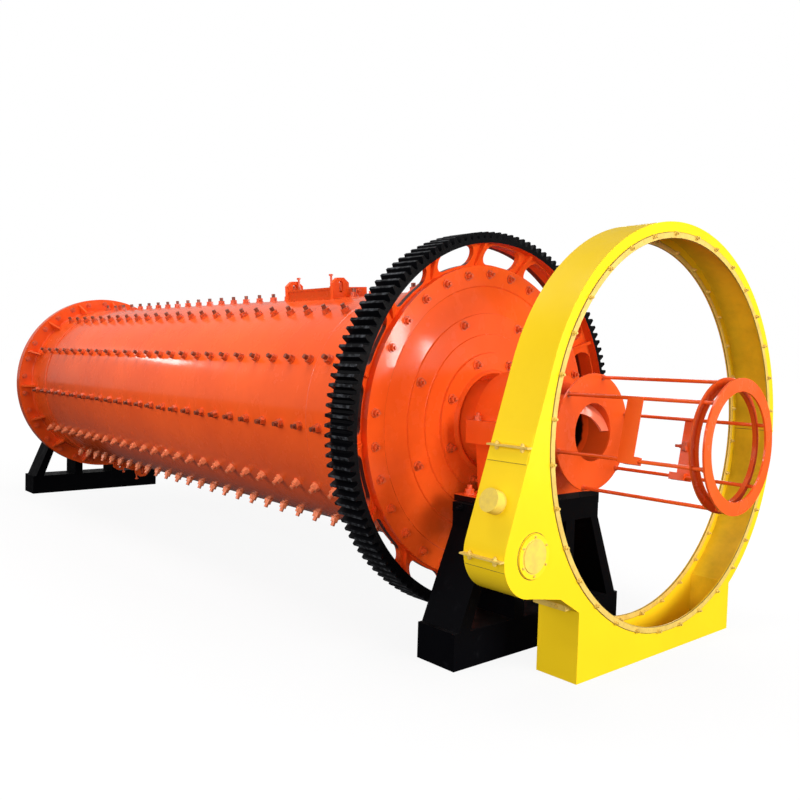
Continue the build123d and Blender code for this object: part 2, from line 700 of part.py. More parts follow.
def main():
    """Build every piece and write it out."""
    rods = make_rods()
    low_row = BOLT_ROW_ANGLE + 180
    guard_right = GUARD_Y + (GUARD_R ** 2 - GUARD_SPLIT_DROP ** 2) ** 0.5
    lobe_left = LOBE_Y - LOBE_R
    pieces = {
        "shell": make_shell(),
        "feed_flange": make_feed_flange(),
        "discharge_flange": make_discharge_flange(),
        "feed_head": make_head(SHELL_START, -1),
        "discharge_head": make_head(WEB_FRONT, 1),
        "feed_trunnion": make_feed_trunnion(),
        "discharge_trunnion": make_discharge_trunnion(),
        "discharge_liner": make_liner(),
        "spiral_flight": make_flight(),
        "gear_rim": make_gear_rim(),
        "gear_web": make_gear_web(),
        "top_manhole_neck": make_manhole_neck(TOP_MANHOLE_X, BOLT_ROW_ANGLE),
        "top_manhole_cover": make_manhole_cover(TOP_MANHOLE_X, BOLT_ROW_ANGLE),
        "top_manhole_yokes": make_manhole_yokes(TOP_MANHOLE_X, BOLT_ROW_ANGLE, 1),
        "low_manhole_neck": make_manhole_neck(LOW_MANHOLE_X, low_row),
        "low_manhole_cover": make_manhole_cover(LOW_MANHOLE_X, low_row),
        "low_manhole_yokes": make_manhole_yokes(LOW_MANHOLE_X, low_row, -1),
        "cage_disc": make_disc(),
        "cage_rods": rods,
        "cage_rear_ring": make_rear_ring(rods),
        "cage_front_ring": make_front_ring(),
        "cage_left_strap": make_strap(2, rods, 1),
        "cage_right_strap": make_strap(5, rods, -1),
        "guard_upper_front": make_guard_plate(GUARD_FRONT - GUARD_T, True),
        "guard_lower_front": make_guard_plate(GUARD_FRONT - GUARD_T, False),
        "guard_upper_rear": make_guard_plate(GUARD_REAR, True),
        "guard_lower_rear": make_guard_plate(GUARD_REAR, False),
        "guard_upper_wall": make_guard_wall(True),
        "guard_lower_wall": make_guard_wall(False),
        "guard_front_lip": make_guard_lip(GUARD_FRONT),
        "guard_rear_lip": make_guard_lip(GUARD_REAR + GUARD_T),
        "guard_left_split": make_split_flanges(flank_y(GUARD_SPLIT_Z), SPLIT_EDGE, GUARD_SPLIT_Z),
        "guard_right_split": make_split_flanges(guard_right, SPLIT_STRIP, GUARD_SPLIT_Z),
        "guard_lobe_split": make_split_flanges(lobe_left, SPLIT_EDGE, LOBE_Z - LOBE_SPLIT_DROP),
        "pinion_cover": make_pinion_cover(),
        "guard_port": make_port(),
    }
    for end, x in (("discharge", 0), ("feed", FEED_BEARING_X)):
        pieces[f"{end}_bearing_base"] = make_bearing_base(x)
        pieces[f"{end}_bearing_cap"] = make_bearing_cap(x)
        pieces[f"{end}_stand_base"] = make_stand_base(x)
        pieces[f"{end}_stand_legs"] = make_stand_legs(x)
        pieces[f"{end}_stand_posts"] = make_stand_posts(x)
        pieces[f"{end}_stand_top"] = make_stand_top(x)
    os.makedirs("parts", exist_ok=True)
    for name, piece in pieces.items():
        export_step(piece, f"parts/{name}.step")


main()
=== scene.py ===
"""Ball mill dressed for a studio picture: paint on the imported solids, every bolt, weld and seam, and the stage."""

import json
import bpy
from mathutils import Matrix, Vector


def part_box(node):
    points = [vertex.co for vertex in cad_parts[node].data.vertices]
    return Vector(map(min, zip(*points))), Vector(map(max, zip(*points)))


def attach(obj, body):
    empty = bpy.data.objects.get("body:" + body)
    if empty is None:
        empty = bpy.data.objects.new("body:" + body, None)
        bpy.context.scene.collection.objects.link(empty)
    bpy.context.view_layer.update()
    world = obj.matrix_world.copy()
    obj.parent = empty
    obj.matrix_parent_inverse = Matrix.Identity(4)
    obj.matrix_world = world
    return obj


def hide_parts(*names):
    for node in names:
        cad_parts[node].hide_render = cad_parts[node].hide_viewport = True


bl_info = {
    "name": "Ball Mill Dresser",
    "version": (1, 0, 0),
    "blender": (4, 5, 0),
    "location": "View3D > Sidebar > Ball Mill",
    "description": "Paints the packed ball mill, adds its bolts and welds, and sets the studio stage",
    "category": "Object",
}

from math import cos, pi, radians, sin

import bmesh
import bpy
from bpy.props import FloatProperty, FloatVectorProperty, IntProperty, PointerProperty
from mathutils import Matrix, Vector

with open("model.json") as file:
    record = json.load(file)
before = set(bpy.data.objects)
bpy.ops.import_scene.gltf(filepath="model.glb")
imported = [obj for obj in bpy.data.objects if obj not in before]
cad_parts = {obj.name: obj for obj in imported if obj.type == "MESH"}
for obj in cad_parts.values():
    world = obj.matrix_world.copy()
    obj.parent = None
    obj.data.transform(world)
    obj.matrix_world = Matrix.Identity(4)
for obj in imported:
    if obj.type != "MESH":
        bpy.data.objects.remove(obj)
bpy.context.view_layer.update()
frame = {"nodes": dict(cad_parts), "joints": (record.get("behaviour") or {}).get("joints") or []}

DRUM = "drum"
FRAME = "frame"

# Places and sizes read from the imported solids, in metres
AXIS_Z = frame["joints"][0]["pos_m"][2]
SHELL_LOW, SHELL_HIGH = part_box("shell")
COLLAR_R = (SHELL_HIGH.y - SHELL_LOW.y) / 2
GEAR_LOW, GEAR_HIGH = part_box("gear_rim")
TIP_R = (GEAR_HIGH.y - GEAR_LOW.y) / 2
LIP_LOW, LIP_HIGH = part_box("guard_front_lip")
GUARD_Y = (LIP_LOW.y + LIP_HIGH.y) / 2
GUARD_Z = (LIP_LOW.z + LIP_HIGH.z) / 2
LIP_R = (LIP_HIGH.y - LIP_LOW.y) / 2
COVER_LOW, COVER_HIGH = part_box("pinion_cover")
COVER_Y = (COVER_LOW.y + COVER_HIGH.y) / 2
COVER_Z = (COVER_LOW.z + COVER_HIGH.z) / 2

# Sizes of the solids that their boxes don't give, in metres
COLLAR_STEP = 0.008
COLLAR_JOINTS = (-1.296, -6.806)
FLANGE_T = 0.045
HEAD_RISE = 0.022
WINDOW_HUB_R = 1.135
BEARING_FOOT_T = 0.045
BEARING_SPLIT_T = 0.040
COVER_MIDDLE_R = 0.099
COVER_FLANGE_R = 0.128


# Settings that a user would change
class MillFasteners(bpy.types.PropertyGroup):
    """Sizes and counts of the bolts on the mill."""

    liner_rows: IntProperty(name="Liner bolt rows", description="Rows of liner bolts around the shell", default=12)
    liner_pitch: FloatProperty(
        name="Liner bolt pitch", description="Distance between liner bolts along a row", default=0.246,
        unit="LENGTH")
    liner_start: FloatProperty(
        name="First row", description="Angle of the first row from the side", default=radians(4.8),
        subtype="ANGLE")
    liner_first_x: FloatProperty(
        name="First liner bolt", description="Place of the bolt nearest the gear", default=-0.651, unit="LENGTH")
    liner_count: IntProperty(name="Bolts in a row", description="Liner bolts along one row", default=27)
    washer_radius: FloatProperty(
        name="Washer radius", description="Radius of a liner bolt's washer", default=0.037, unit="LENGTH")
    flange_count: IntProperty(name="Flange bolts", description="Bolts around each drum flange", default=30)
    flange_circle: FloatProperty(
        name="Flange bolt circle", description="Radius of the flange bolt circle", default=1.035, unit="LENGTH")
    flank_lean: FloatProperty(
        name="Flank lean", description="Lean of the guard's straight flank from upright", default=radians(19.3),
        subtype="ANGLE")
    lip_step: FloatProperty(
        name="Lip bolt step", description="Angle between bolts around the guard's seal rings",
        default=radians(11.25), subtype="ANGLE")


class MillPaints(bpy.types.PropertyGroup):
    """Colours of the mill's paints, in scene linear values."""

    drum: FloatVectorProperty(
        name="Drum orange", description="Gloss orange of the drum and bearings", subtype="COLOR", size=3,
        min=0, max=1, default=(0.88, 0.102, 0.012))
    guard: FloatVectorProperty(
        name="Guard yellow", description="Gloss yellow of the gear guard", subtype="COLOR", size=3,
        min=0, max=1, default=(0.95, 0.655, 0.014))
    lip: FloatVectorProperty(
        name="Lip ochre", description="Dull ochre of the guard's flat seal rings", subtype="COLOR", size=3,
        min=0, max=1, default=(0.76, 0.53, 0.11))
    # Channel ochre: darker than the guard yellow, painted shade inside the guard's channel; dirt patches are added
    # in guard_paint
    channel: FloatVectorProperty(
        name="Channel ochre", description="Thin dirty coat inside the guard's channel", subtype="COLOR", size=3,
        min=0, max=1, default=(0.84, 0.54, 0.019))
    stand: FloatVectorProperty(
        name="Stand black", description="Satin black of the stands and the gear teeth", subtype="COLOR", size=3,
        min=0, max=1, default=(0.0022, 0.0022, 0.0030))


class MillStage(bpy.types.PropertyGroup):
    """Camera and light of the studio."""

    camera_place: FloatVectorProperty(
        name="Camera place", description="Where the camera stands", subtype="TRANSLATION", unit="LENGTH", size=3,
        default=(3.651, -4.380, 1.870))
    camera_yaw: FloatProperty(
        name="Camera heading", description="Turn of the view from the mill's axis", default=radians(-41.1883),
        subtype="ANGLE")
    camera_pitch: FloatProperty(
        name="Camera tilt", description="How far the camera looks down", default=radians(-2.7523),
        subtype="ANGLE")
    camera_roll: FloatProperty(
        name="Camera roll", description="Turn about the line of sight", default=radians(-1.6854), subtype="ANGLE")
    camera_lens: FloatProperty(
        name="Lens", description="Focal length in millimetres on a 36 mm sensor", default=37.71)
    sky_level: FloatProperty(name="Sky level", description="Strength of the soft light all round", default=0.26)
    key_power: FloatProperty(name="Key power", description="Watts of the large key light", default=256)
    side_power: FloatProperty(name="Side power", description="Watts of the light along the drum", default=62)
    top_power: FloatProperty(name="Top power", description="Watts of the light over the drum", default=140)
    far_power: FloatProperty(name="Far power", description="Watts of the small light past the feed end", default=22)
    fill_power: FloatProperty(name="Fill power", description="Watts of the fill light", default=870)
    back_power: FloatProperty(name="Back power", description="Watts of the light behind the drum", default=420)
    strip_power: FloatProperty(name="Strip power", description="Watts of the tall strip light", default=64)
    gleam_power: FloatProperty(name="Gleam power", description="Watts of the long thin light", default=50)


# Colours of wear and dirt, and of painted shade and painted highlights, in scene linear values
DUST = (0.85, 0.50, 0.36)
LIP_GRIME = (0.60, 0.38, 0.06)
COVER_OCHRE = (0.84, 0.60, 0.085)
COVER_GRIME = (0.62, 0.42, 0.10)
# Dark brown on the hub side of the gear web's windows, painted shade
WINDOW_SHADE = (0.080, 0.017, 0.010)
# Near black deep in the discharge sleeve, painted shade
BORE_SHADE = (0.006, 0.004, 0.004)
SEAM_DARK = (0.17, 0.10, 0.012)
SEAM_DUST = (0.36, 0.23, 0.03)
# Grey of the gear's tooth tips, worn steel that also stands in for highlights
RUBBED_STEEL_SHEEN = (0.16, 0.17, 0.19)
# Dark brown on the inside of the gear rim behind the web, painted shade
RIM_SHADE = (0.13, 0.022, 0.010)
SCUFF_GREY = (0.030, 0.030, 0.036)
STAND_DUST = (0.22, 0.21, 0.21)
NUT_RUST = (0.15, 0.036, 0.016)
# Paler orange of the low liner nuts, a painted highlight
NUT_HIGHLIGHT = (0.95, 0.27, 0.11)
THREAD_GREASE = (0.11, 0.028, 0.015)
THREAD_RUST = (0.36, 0.065, 0.020)
# Pale orange of the low studs, a painted highlight
THREAD_HIGHLIGHT = (0.90, 0.23, 0.095)
# Paler orange of the spiral flight, its paint and partly a painted highlight
FLIGHT_ORANGE_SHEEN = (0.90, 0.20, 0.10)

# Gloss paint: lowest and highest roughness, clear coat, height of the plate's waves, gloss and its colour
GLOSS_ROUGH = (0.17, 0.32)
GLOSS_COAT = 0.05
DRUM_COAT = 0.35
FLIGHT_ROUGH = (0.14, 0.24)
FLIGHT_COAT = 0.3
COAT_ROUGH = 0.08
GLOSS_WAVE = 0.006
FLAT_WAVE = 0.003
GLOSS_SPECULAR = 0.20
GLOSS_TINT = (1.0, 0.62, 0.50)

# Depth of uneven spraying, and how much more of green and blue than of red is lost there
DRUM_DEPTH = 0.16
FLIGHT_DEPTH = 0.10
GUARD_DEPTH = 0.05
WELD_DEPTH = 0.22
HUE_LOSS = 1.6

# Depth of the black on the gear from the tips of its teeth, depth in the discharge sleeve past which its dark inside
# is painted shade, and the heights between which the painted highlight on low bolts sets in
BLACK_BAND = 0.072
BORE_SHADE_DEPTH = 0.208
HIGHLIGHT_HEIGHTS = (AXIS_Z - 0.25, AXIS_Z - 0.55)


# Node helpers
class Tree:
    """Short way to write a material's nodes."""

    def __init__(self, name):
        self.material = bpy.data.materials.new(name)
        self.material.use_nodes = True
        self.nodes = self.material.node_tree.nodes
        self.links = self.material.node_tree.links
        self.shader = self.nodes["Principled BSDF"]
        self.place = self.nodes.new("ShaderNodeTexCoord").outputs["Object"]

    def link(self, source, node, socket):
        """Link a socket, or set a constant number or colour."""
        if hasattr(source, "is_linked"):
            self.links.new(source, node.inputs[socket])
        else:
            node.inputs[socket].default_value = (*source, 1.0) if isinstance(source, tuple) else source

    def noise(self, scale, detail, rough=0.55):
        node = self.nodes.new("ShaderNodeTexNoise")
        self.link(self.place, node, "Vector")
        self.link(scale, node, "Scale")
        self.link(detail, node, "Detail")
        self.link(rough, node, "Roughness")
        return node.outputs["Fac"]

    def remap(self, value, low, high, to_low=0.0, to_high=1.0):
        node = self.nodes.new("ShaderNodeMapRange")
        self.link(value, node, "Value")
        self.link(low, node, "From Min")
        self.link(high, node, "From Max")
        self.link(to_low, node, "To Min")
        self.link(to_high, node, "To Max")
        return node.outputs["Result"]

    def uneven(self, scale, detail, low, high):
        """Value that drifts between two levels."""
        return self.remap(self.noise(scale, detail), 0.3, 0.7, low, high)

    def math(self, kind, a, b=0.0):
        node = self.nodes.new("ShaderNodeMath")
        node.operation = kind
        self.link(a, node, 0)
        self.link(b, node, 1)
        return node.outputs["Value"]

    def mix(self, factor, a, b):
        node = self.nodes.new("ShaderNodeMix")
        node.data_type = "RGBA"
        self.link(factor, node, 0)
        self.link(a, node, 6)
        self.link(b, node, 7)
        return node.outputs[2]

    def xyz(self, vector):
        node = self.nodes.new("ShaderNodeSeparateXYZ")
        self.link(vector, node, 0)
        return node.outputs["X"], node.outputs["Y"], node.outputs["Z"]

    def normal(self):
        return self.nodes.new("ShaderNodeNewGeometry").outputs["Normal"]

    def length(self, a, b):
        """Length of a vector with two parts."""
        return self.math("SQRT", self.math("ADD", self.math("MULTIPLY", a, a), self.math("MULTIPLY", b, b)))

    def from_line(self, y0, z0):
        """Offset in Y and Z from a line along X."""
        _, y, z = self.xyz(self.place)
        return self.math("SUBTRACT", y, y0), self.math("SUBTRACT", z, z0)

    def axis_radius(self):
        """Distance from the mill axis."""
        return self.length(*self.from_line(0.0, AXIS_Z))

    def outward(self, y0, z0):
        """How much a face looks away from a line along X, times its distance."""
        y, z = self.from_line(y0, z0)
        _, facing_y, facing_z = self.xyz(self.normal())
        return self.math("ADD", self.math("MULTIPLY", y, facing_y), self.math("MULTIPLY", z, facing_z))

    def bump(self, height, strength, distance, below=None):
        node = self.nodes.new("ShaderNodeBump")
        self.link(height, node, "Height")
        self.link(strength, node, "Strength")
        self.link(distance, node, "Distance")
        if below:
            self.link(below, node, "Normal")
        return node.outputs["Normal"]

    def finish(self, colour, rough, normal=None, coat=0.0, specular=0.5, tint=(1.0, 1.0, 1.0)):
        self.link(colour, self.shader, "Base Color")
        self.link(rough, self.shader, "Roughness")
        if normal:
            self.link(normal, self.shader, "Normal")
        self.link(coat, self.shader, "Coat Weight")
        self.link(COAT_ROUGH, self.shader, "Coat Roughness")
        self.link(specular, self.shader, "Specular IOR Level")
        self.link(tint, self.shader, "Specular Tint")
        return self.material


def shade(colour, factor):
    """A lighter or darker copy of a colour."""
    return tuple(min(1.0, part * factor) for part in colour)


def spray_colour(tree, colour, depth):
    """Sprayed paint: broad uneven cover, small blotches and a little dust on what faces up."""
    red, green, blue = colour
    deep = (red * (1 - depth), green * (1 - HUE_LOSS * depth), blue * (1 - HUE_LOSS * depth))
    broad = tree.remap(tree.noise(1.1, 4), 0.35, 0.68)
    small = tree.remap(tree.noise(19, 5), 0.35, 0.70)
    painted = tree.mix(broad, colour, deep)
    painted = tree.mix(tree.math("MULTIPLY", small, 0.25), painted, deep)
    _, _, up = tree.xyz(tree.normal())
    patches = tree.remap(tree.noise(6, 6), 0.40, 0.75, 0.0, 0.07)
    return tree.mix(tree.math("MULTIPLY", tree.remap(up, 0.55, 1.0), patches), painted, DUST)


def spray_normal(tree, wave):
    """Rolled-plate waviness under a fine orange-peel skin."""
    plate = tree.bump(tree.noise(2.4, 2), 0.5, wave)
    return tree.bump(tree.noise(160, 2), 0.10, 0.001, plate)


def gloss_finish(tree, painted, rough=GLOSS_ROUGH, coat=GLOSS_COAT):
    """Gloss over a colour that is already mixed."""
    return tree.finish(painted, tree.uneven(7, 5, *rough), spray_normal(tree, GLOSS_WAVE), coat,
                       GLOSS_SPECULAR, GLOSS_TINT)


def gloss_paint(name, colour, depth=DRUM_DEPTH, rough=GLOSS_ROUGH, coat=GLOSS_COAT):
    """Gloss paint over plate."""
    tree = Tree(name)
    return gloss_finish(tree, spray_colour(tree, colour, depth), rough, coat)


def guard_paint(name, colour, channel):
    """Gloss yellow outside, with a darker ochre painted as shade, and dirt in patches, on what faces the middle of
    the guard.
    """
    tree = Tree(name)
    # Faces towards the guard's middle get a darker ochre as painted shade, with dirt in patches
    inside = tree.remap(tree.outward(GUARD_Y, GUARD_Z), -0.10, -0.30)
    dirt = tree.remap(tree.noise(4, 6, 0.65), 0.35, 0.70)
    shade_and_dirt = tree.mix(dirt, channel, shade(channel, 0.72))
    painted = tree.mix(inside, spray_colour(tree, colour, GUARD_DEPTH), shade_and_dirt)
    return tree.finish(painted, tree.uneven(7, 5, 0.30, 0.46), spray_normal(tree, FLAT_WAVE), specular=0.08)


def dull_coat(name, colour, grime):
    """Dull coat with grime in patches, on the seal rings and the split flanges."""
    tree = Tree(name)
    patches = tree.remap(tree.noise(14, 7, 0.68), 0.42, 0.70, 0.0, 0.85)
    specks = tree.remap(tree.noise(75, 3), 0.60, 0.72, 0.0, 0.5)
    painted = tree.mix(specks, tree.mix(patches, colour, grime), shade(grime, 0.6))
    grain = tree.bump(tree.noise(60, 4), 0.25, 0.001)
    return tree.finish(painted, tree.uneven(20, 5, 0.42, 0.66), grain, 0.08)


def cover_paint(name, yellow, ochre):
    """Pale dirty ochre of the pinion cover and the port, with the yellow flange of the cover."""
    tree = Tree(name)
    away = tree.length(*tree.from_line(COVER_Y, COVER_Z))
    flange = tree.math("MULTIPLY", tree.math("GREATER_THAN", away, COVER_MIDDLE_R),
                       tree.math("LESS_THAN", away, COVER_FLANGE_R))
    patches = tree.remap(tree.noise(16, 7, 0.66), 0.40, 0.70, 0.0, 0.7)
    middle = tree.mix(patches, ochre, COVER_GRIME)
    grain = tree.bump(tree.noise(50, 4), 0.2, 0.001)
    return tree.finish(tree.mix(flange, middle, yellow), tree.uneven(20, 5, 0.40, 0.62), grain, 0.05,
                       specular=0.2)


def web_paint(name, colour):
    """Drum paint on the gear's web, with painted shade on the hub side of its windows."""
    tree = Tree(name)
    # Faces on the hub side of the windows are painted dark brown as shade
    facing_out = tree.remap(tree.outward(0.0, AXIS_Z), 0.70, 0.95)
    at_hub = tree.math("LESS_THAN", tree.axis_radius(), WINDOW_HUB_R)
    edge = tree.math("MULTIPLY", facing_out, at_hub)
    return gloss_finish(tree, tree.mix(edge, spray_colour(tree, colour, DRUM_DEPTH), WINDOW_SHADE))


def housing_paint(name, colour, black):
    """Drum paint on the lower housings of the bearings, with the rim of the foot black like the stand."""
    tree = Tree(name)
    _, _, z = tree.xyz(tree.place)
    foot_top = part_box("discharge_bearing_base")[0].z + BEARING_FOOT_T
    rim = tree.remap(z, foot_top - 0.002, foot_top - 0.005)
    return gloss_finish(tree, tree.mix(rim, spray_colour(tree, colour, DRUM_DEPTH), black))


def bore_paint(name, colour):
    """Drum paint in the discharge sleeve with painted light and shade: darker at the mouth, a lighter band further
    in, and near black deeper still.
    """
    tree = Tree(name)
    x, _, _ = tree.xyz(tree.place)
    x = tree.math("ADD", x, tree.uneven(14, 4, -0.006, 0.006))
    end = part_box("cage_disc")[1].x - BORE_SHADE_DEPTH
    # Deeper in, the bore is painted near black as shade, with a painted lighter band just before it
    deep_shade_mask = tree.remap(x, end, end - 0.012)
    lit_band_mask = tree.remap(x, end + 0.042, end + 0.036)
    painted = tree.mix(lit_band_mask, shade(colour, 0.78), shade(colour, 1.08))
    return tree.finish(tree.mix(deep_shade_mask, painted, BORE_SHADE), tree.uneven(18, 5, 0.3, 0.5),
                       spray_normal(tree, FLAT_WAVE), specular=0.1)


def seam_paint(name):
    """Dark line of an open seam with dust along it, also used for a painted shadow line."""
    tree = Tree(name)
    dust = tree.remap(tree.noise(55, 5), 0.40, 0.70, 0.0, 0.6)
    grain = tree.bump(tree.noise(90, 2), 0.2, 0.001)
    return tree.finish(tree.mix(dust, SEAM_DARK, SEAM_DUST), tree.uneven(30, 3, 0.6, 0.8), grain)


def gear_paint(name, teeth, drum):
    """Black teeth and rim faces with worn grey tips that also stand in for highlights, and drum paint inside the rim
    with painted shade behind the web.
    """
    tree = Tree(name)
    radius = tree.axis_radius()
    edge = tree.math("ADD", radius, tree.uneven(40, 3, -0.001, 0.001))
    facing_x, _, _ = tree.xyz(tree.normal())
    black = tree.math("MAXIMUM", tree.math("GREATER_THAN", edge, TIP_R - BLACK_BAND),
                      tree.math("GREATER_THAN", tree.math("ABSOLUTE", facing_x), 0.5))
    # Grey on the tooth tips: worn steel, and also a painted highlight
    rubbed_and_sheen = tree.math("MULTIPLY", tree.remap(radius, TIP_R - 0.004, TIP_R - 0.001),
                       tree.remap(tree.noise(30, 6), 0.45, 0.65, 0.0, 0.35))
    tooth = tree.mix(rubbed_and_sheen, teeth, RUBBED_STEEL_SHEEN)
    x, _, _ = tree.xyz(tree.place)
    web_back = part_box("gear_web")[0].x
    # Behind the web the inside of the rim is painted darker as shade
    behind = tree.remap(x, web_back + 0.010, web_back - 0.004)
    inside = tree.mix(behind, spray_colour(tree, drum, DRUM_DEPTH), RIM_SHADE)
    return tree.finish(tree.mix(black, inside, tooth), tree.uneven(25, 5, 0.30, 0.48),
                       spray_normal(tree, FLAT_WAVE), specular=0.06)


def satin_black(name, colour):
    """Satin black paint with faint grey scuffs and dust."""
    tree = Tree(name)
    scuffs = tree.remap(tree.noise(9, 8, 0.7), 0.60, 0.78, 0.0, 0.25)
    painted = tree.mix(scuffs, colour, SCUFF_GREY)
    _, _, up = tree.xyz(tree.normal())
    patches = tree.remap(tree.noise(5, 6), 0.4, 0.7, 0.01, 0.06)
    painted = tree.mix(tree.math("MULTIPLY", tree.remap(up, 0.6, 1.0), patches), painted, STAND_DUST)
    return tree.finish(painted, tree.uneven(14, 5, 0.34, 0.55), spray_normal(tree, FLAT_WAVE), specular=0.02)


def bolt_paint(name, colour, lit_colour):
    """Drum paint over nuts, with rust on the upper ones; on the low ones the rust is left off and a paler colour is
    painted as highlight.
    """
    tree = Tree(name)
    _, _, z = tree.xyz(tree.place)
    # Below these heights the rust is left off and a paler colour is painted as highlight
    low = tree.remap(z, *HIGHLIGHT_HEIGHTS)
    stain = tree.math("MULTIPLY", tree.remap(tree.noise(45, 6, 0.65), 0.44, 0.66, 0.0, 0.7),
                      tree.math("SUBTRACT", 1.0, low))
    painted = tree.mix(stain, tree.mix(low, colour, lit_colour), NUT_RUST)
    grain = tree.bump(tree.noise(220, 3), 0.3, 0.001)
    return tree.finish(painted, tree.uneven(60, 4, 0.35, 0.6), grain, 0.2)


def thread_paint(name):
    """Threaded ends, dark with grease and rust above, and painted pale orange as highlight below."""
    tree = Tree(name)
    _, _, z = tree.xyz(tree.place)
    rust = tree.remap(tree.noise(60, 5, 0.6), 0.42, 0.62)
    # Below these heights the studs are painted pale orange as highlight
    colour = tree.mix(tree.remap(z, *HIGHLIGHT_HEIGHTS), tree.mix(rust, THREAD_GREASE, THREAD_RUST), THREAD_HIGHLIGHT)
    tree.link(0.1, tree.shader, "Metallic")
    grain = tree.bump(tree.noise(240, 2), 0.4, 0.001)
    return tree.finish(colour, tree.uneven(50, 4, 0.28, 0.5), grain)


def weld_paint(name, colour):
    """Painted weld bead with its ripples."""
    tree = Tree(name)
    ripple = tree.bump(tree.noise(90, 2), 0.5, 0.004)
    return tree.finish(spray_colour(tree, colour, WELD_DEPTH), tree.uneven(30, 4, 0.30, 0.5), ripple, 0.3)


PAINTS = {}

NODE_PAINTS = {
    "drum": ("shell", "feed_flange", "discharge_flange", "feed_head", "discharge_head", "feed_trunnion",
             "discharge_trunnion", "top_manhole_yokes", "low_manhole_yokes", "cage_disc", "cage_rods",
             "cage_rear_ring", "cage_front_ring", "cage_left_strap", "cage_right_strap",
             "discharge_bearing_cap", "feed_bearing_cap"),
    "housing": ("discharge_bearing_base", "feed_bearing_base"),
    # The manhole necks and covers take a darker copy of the drum paint, painted shade
    "deep": ("top_manhole_neck", "top_manhole_cover", "low_manhole_neck", "low_manhole_cover"),
    "bore": ("discharge_liner",),
    "flight": ("spiral_flight",),
    "web": ("gear_web",),
    "gear": ("gear_rim",),
    "stand": ("discharge_stand_base", "discharge_stand_legs", "discharge_stand_posts", "discharge_stand_top",
              "feed_stand_base", "feed_stand_legs", "feed_stand_posts", "feed_stand_top"),
    "guard": ("guard_upper_front", "guard_lower_front", "guard_upper_rear", "guard_lower_rear",
              "guard_upper_wall", "guard_lower_wall", "guard_right_split"),
    "lip": ("guard_front_lip", "guard_rear_lip", "guard_left_split", "guard_lobe_split"),
    "cover": ("pinion_cover", "guard_port"),
}

# Bolts: radii of the washer, the nut and the stud, then the heights of their tops over the face. The washer
# of a liner bolt is a setting, so it is not listed. SINK is how far a washer or a stud starts in its seat.
LINER_BOLT = (0.0325, 0.018, (0.008, 0.038, 0.070))
FLANGE_BOLT = (0.033, 0.024, 0.012, (0.008, 0.030, 0.048))
HEAD_BOLT = (0.036, 0.026, 0.013, (0.008, 0.032, 0.052))
FOOT_BOLT = (0.038, 0.030, 0.016, (0.008, 0.036, 0.062))
CAP_BOLT = (0.030, 0.024, 0.013, (0.006, 0.030, 0.050))
LIP_BOLT = (0.016, 0.013, 0.007, (0.004, 0.016, 0.027))
COVER_BOLT = (0.008, 0.006, 0.003, (0.002, 0.007, 0.010))
SPLIT_BOLT_HEAD = (0.013, 0.011, 0.006, (0.003, 0.012, 0.018))
SPLIT_BOLT_NUT = (0.015, 0.013, 0.006, (0.003, 0.018, 0.024))
BRACKET_BOLT = (0.014, 0.011, 0.006, (0.003, 0.013, 0.020))
YOKE_BOLT = (0.018, 0.015, 0.009, (0.004, 0.018, 0.030))
ROD_NUT = (0.020, 0.017, 0.0125, (0.003, 0.010, 0.018))
STRAP_BOLT = (0.016, 0.014, 0.009, (0.003, 0.018, 0.048))
STAND_SCREW = (0.022, 0.018, 0.010, (0.010, 0.030, 0.050))
WASHER_SIDES, NUT_SIDES, STUD_SIDES = 12, 6, 8
SINK = 0.001

# Turn of each nut from the one before it, in radians
LINER_TURN, FLANGE_TURN, HEAD_TURN, LIP_TURN = 0.7, 0.9, 1.3, 0.8

X_AXIS = Vector((1, 0, 0))


# Mesh helpers
def keep_piece(name, bm, paint, body):
    """Turn a bmesh into a piece that rides a body."""
    mesh = bpy.data.meshes.new(name)
    bmesh.ops.recalc_face_normals(bm, faces=bm.faces)
    bm.to_mesh(mesh)
    bm.free()
    mesh.materials.append(PAINTS[paint])
    piece = bpy.data.objects.new(name, mesh)
    bpy.context.scene.collection.objects.link(piece)
    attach(piece, body)
    return piece


def frame_at(point, outward, twist=0.0):
    """Matrix whose Z points outward at a place."""
    turn = Vector(outward).to_track_quat("Z", "X").to_matrix().to_4x4()
    return Matrix.Translation(point) @ turn @ Matrix.Rotation(twist, 4, "Z")


def axes_at(point, x, y, z):
    """Matrix with given axes at a place."""
    return Matrix.Translation(point) @ Matrix((x, y, z)).transposed().to_4x4()


def add_disc(bm, place, radius, low, high, sides):
    """Round or many-sided piece from one height to another."""
    lift = Matrix.Translation((0, 0, (low + high) / 2))
    bmesh.ops.create_cone(bm, cap_ends=True, segments=sides, radius1=radius, radius2=radius, depth=high - low,
                          matrix=place @ lift)


def add_bolt(bm, point, outward, bolt, twist=0.0, studs=None):
    """Washer, hex nut and stud end standing on a face, with the stud in a mesh of its own if one is given."""
    place = frame_at(point, outward, twist)
    washer, nut, stud, (washer_top, nut_top, stud_top) = bolt
    add_disc(bm, place, washer, -SINK, washer_top, WASHER_SIDES)
    add_disc(bm, place, nut, washer_top, nut_top, NUT_SIDES)
    add_disc(bm if studs is None else studs, place, stud, nut_top - SINK, stud_top, STUD_SIDES)


def add_bar(bm, place, size, edge=0.0):
    """Flat bar centred on a place, with its edges softened if a width is given."""
    made = bmesh.ops.create_cube(bm, size=1.0, matrix=place @ Matrix.Diagonal((*size, 1.0)))
    if edge:
        edges = list({line for vert in made["verts"] for line in vert.link_edges})
        bmesh.ops.bevel(bm, geom=edges, offset=edge, offset_type="OFFSET", affect="EDGES", segments=2,
                        profile=0.5, material=-1)


def around(radius, angle, x):
    """Point at a radius and an angle from +Y about the mill axis."""
    return Vector((x, radius * cos(angle), AXIS_Z + radius * sin(angle)))


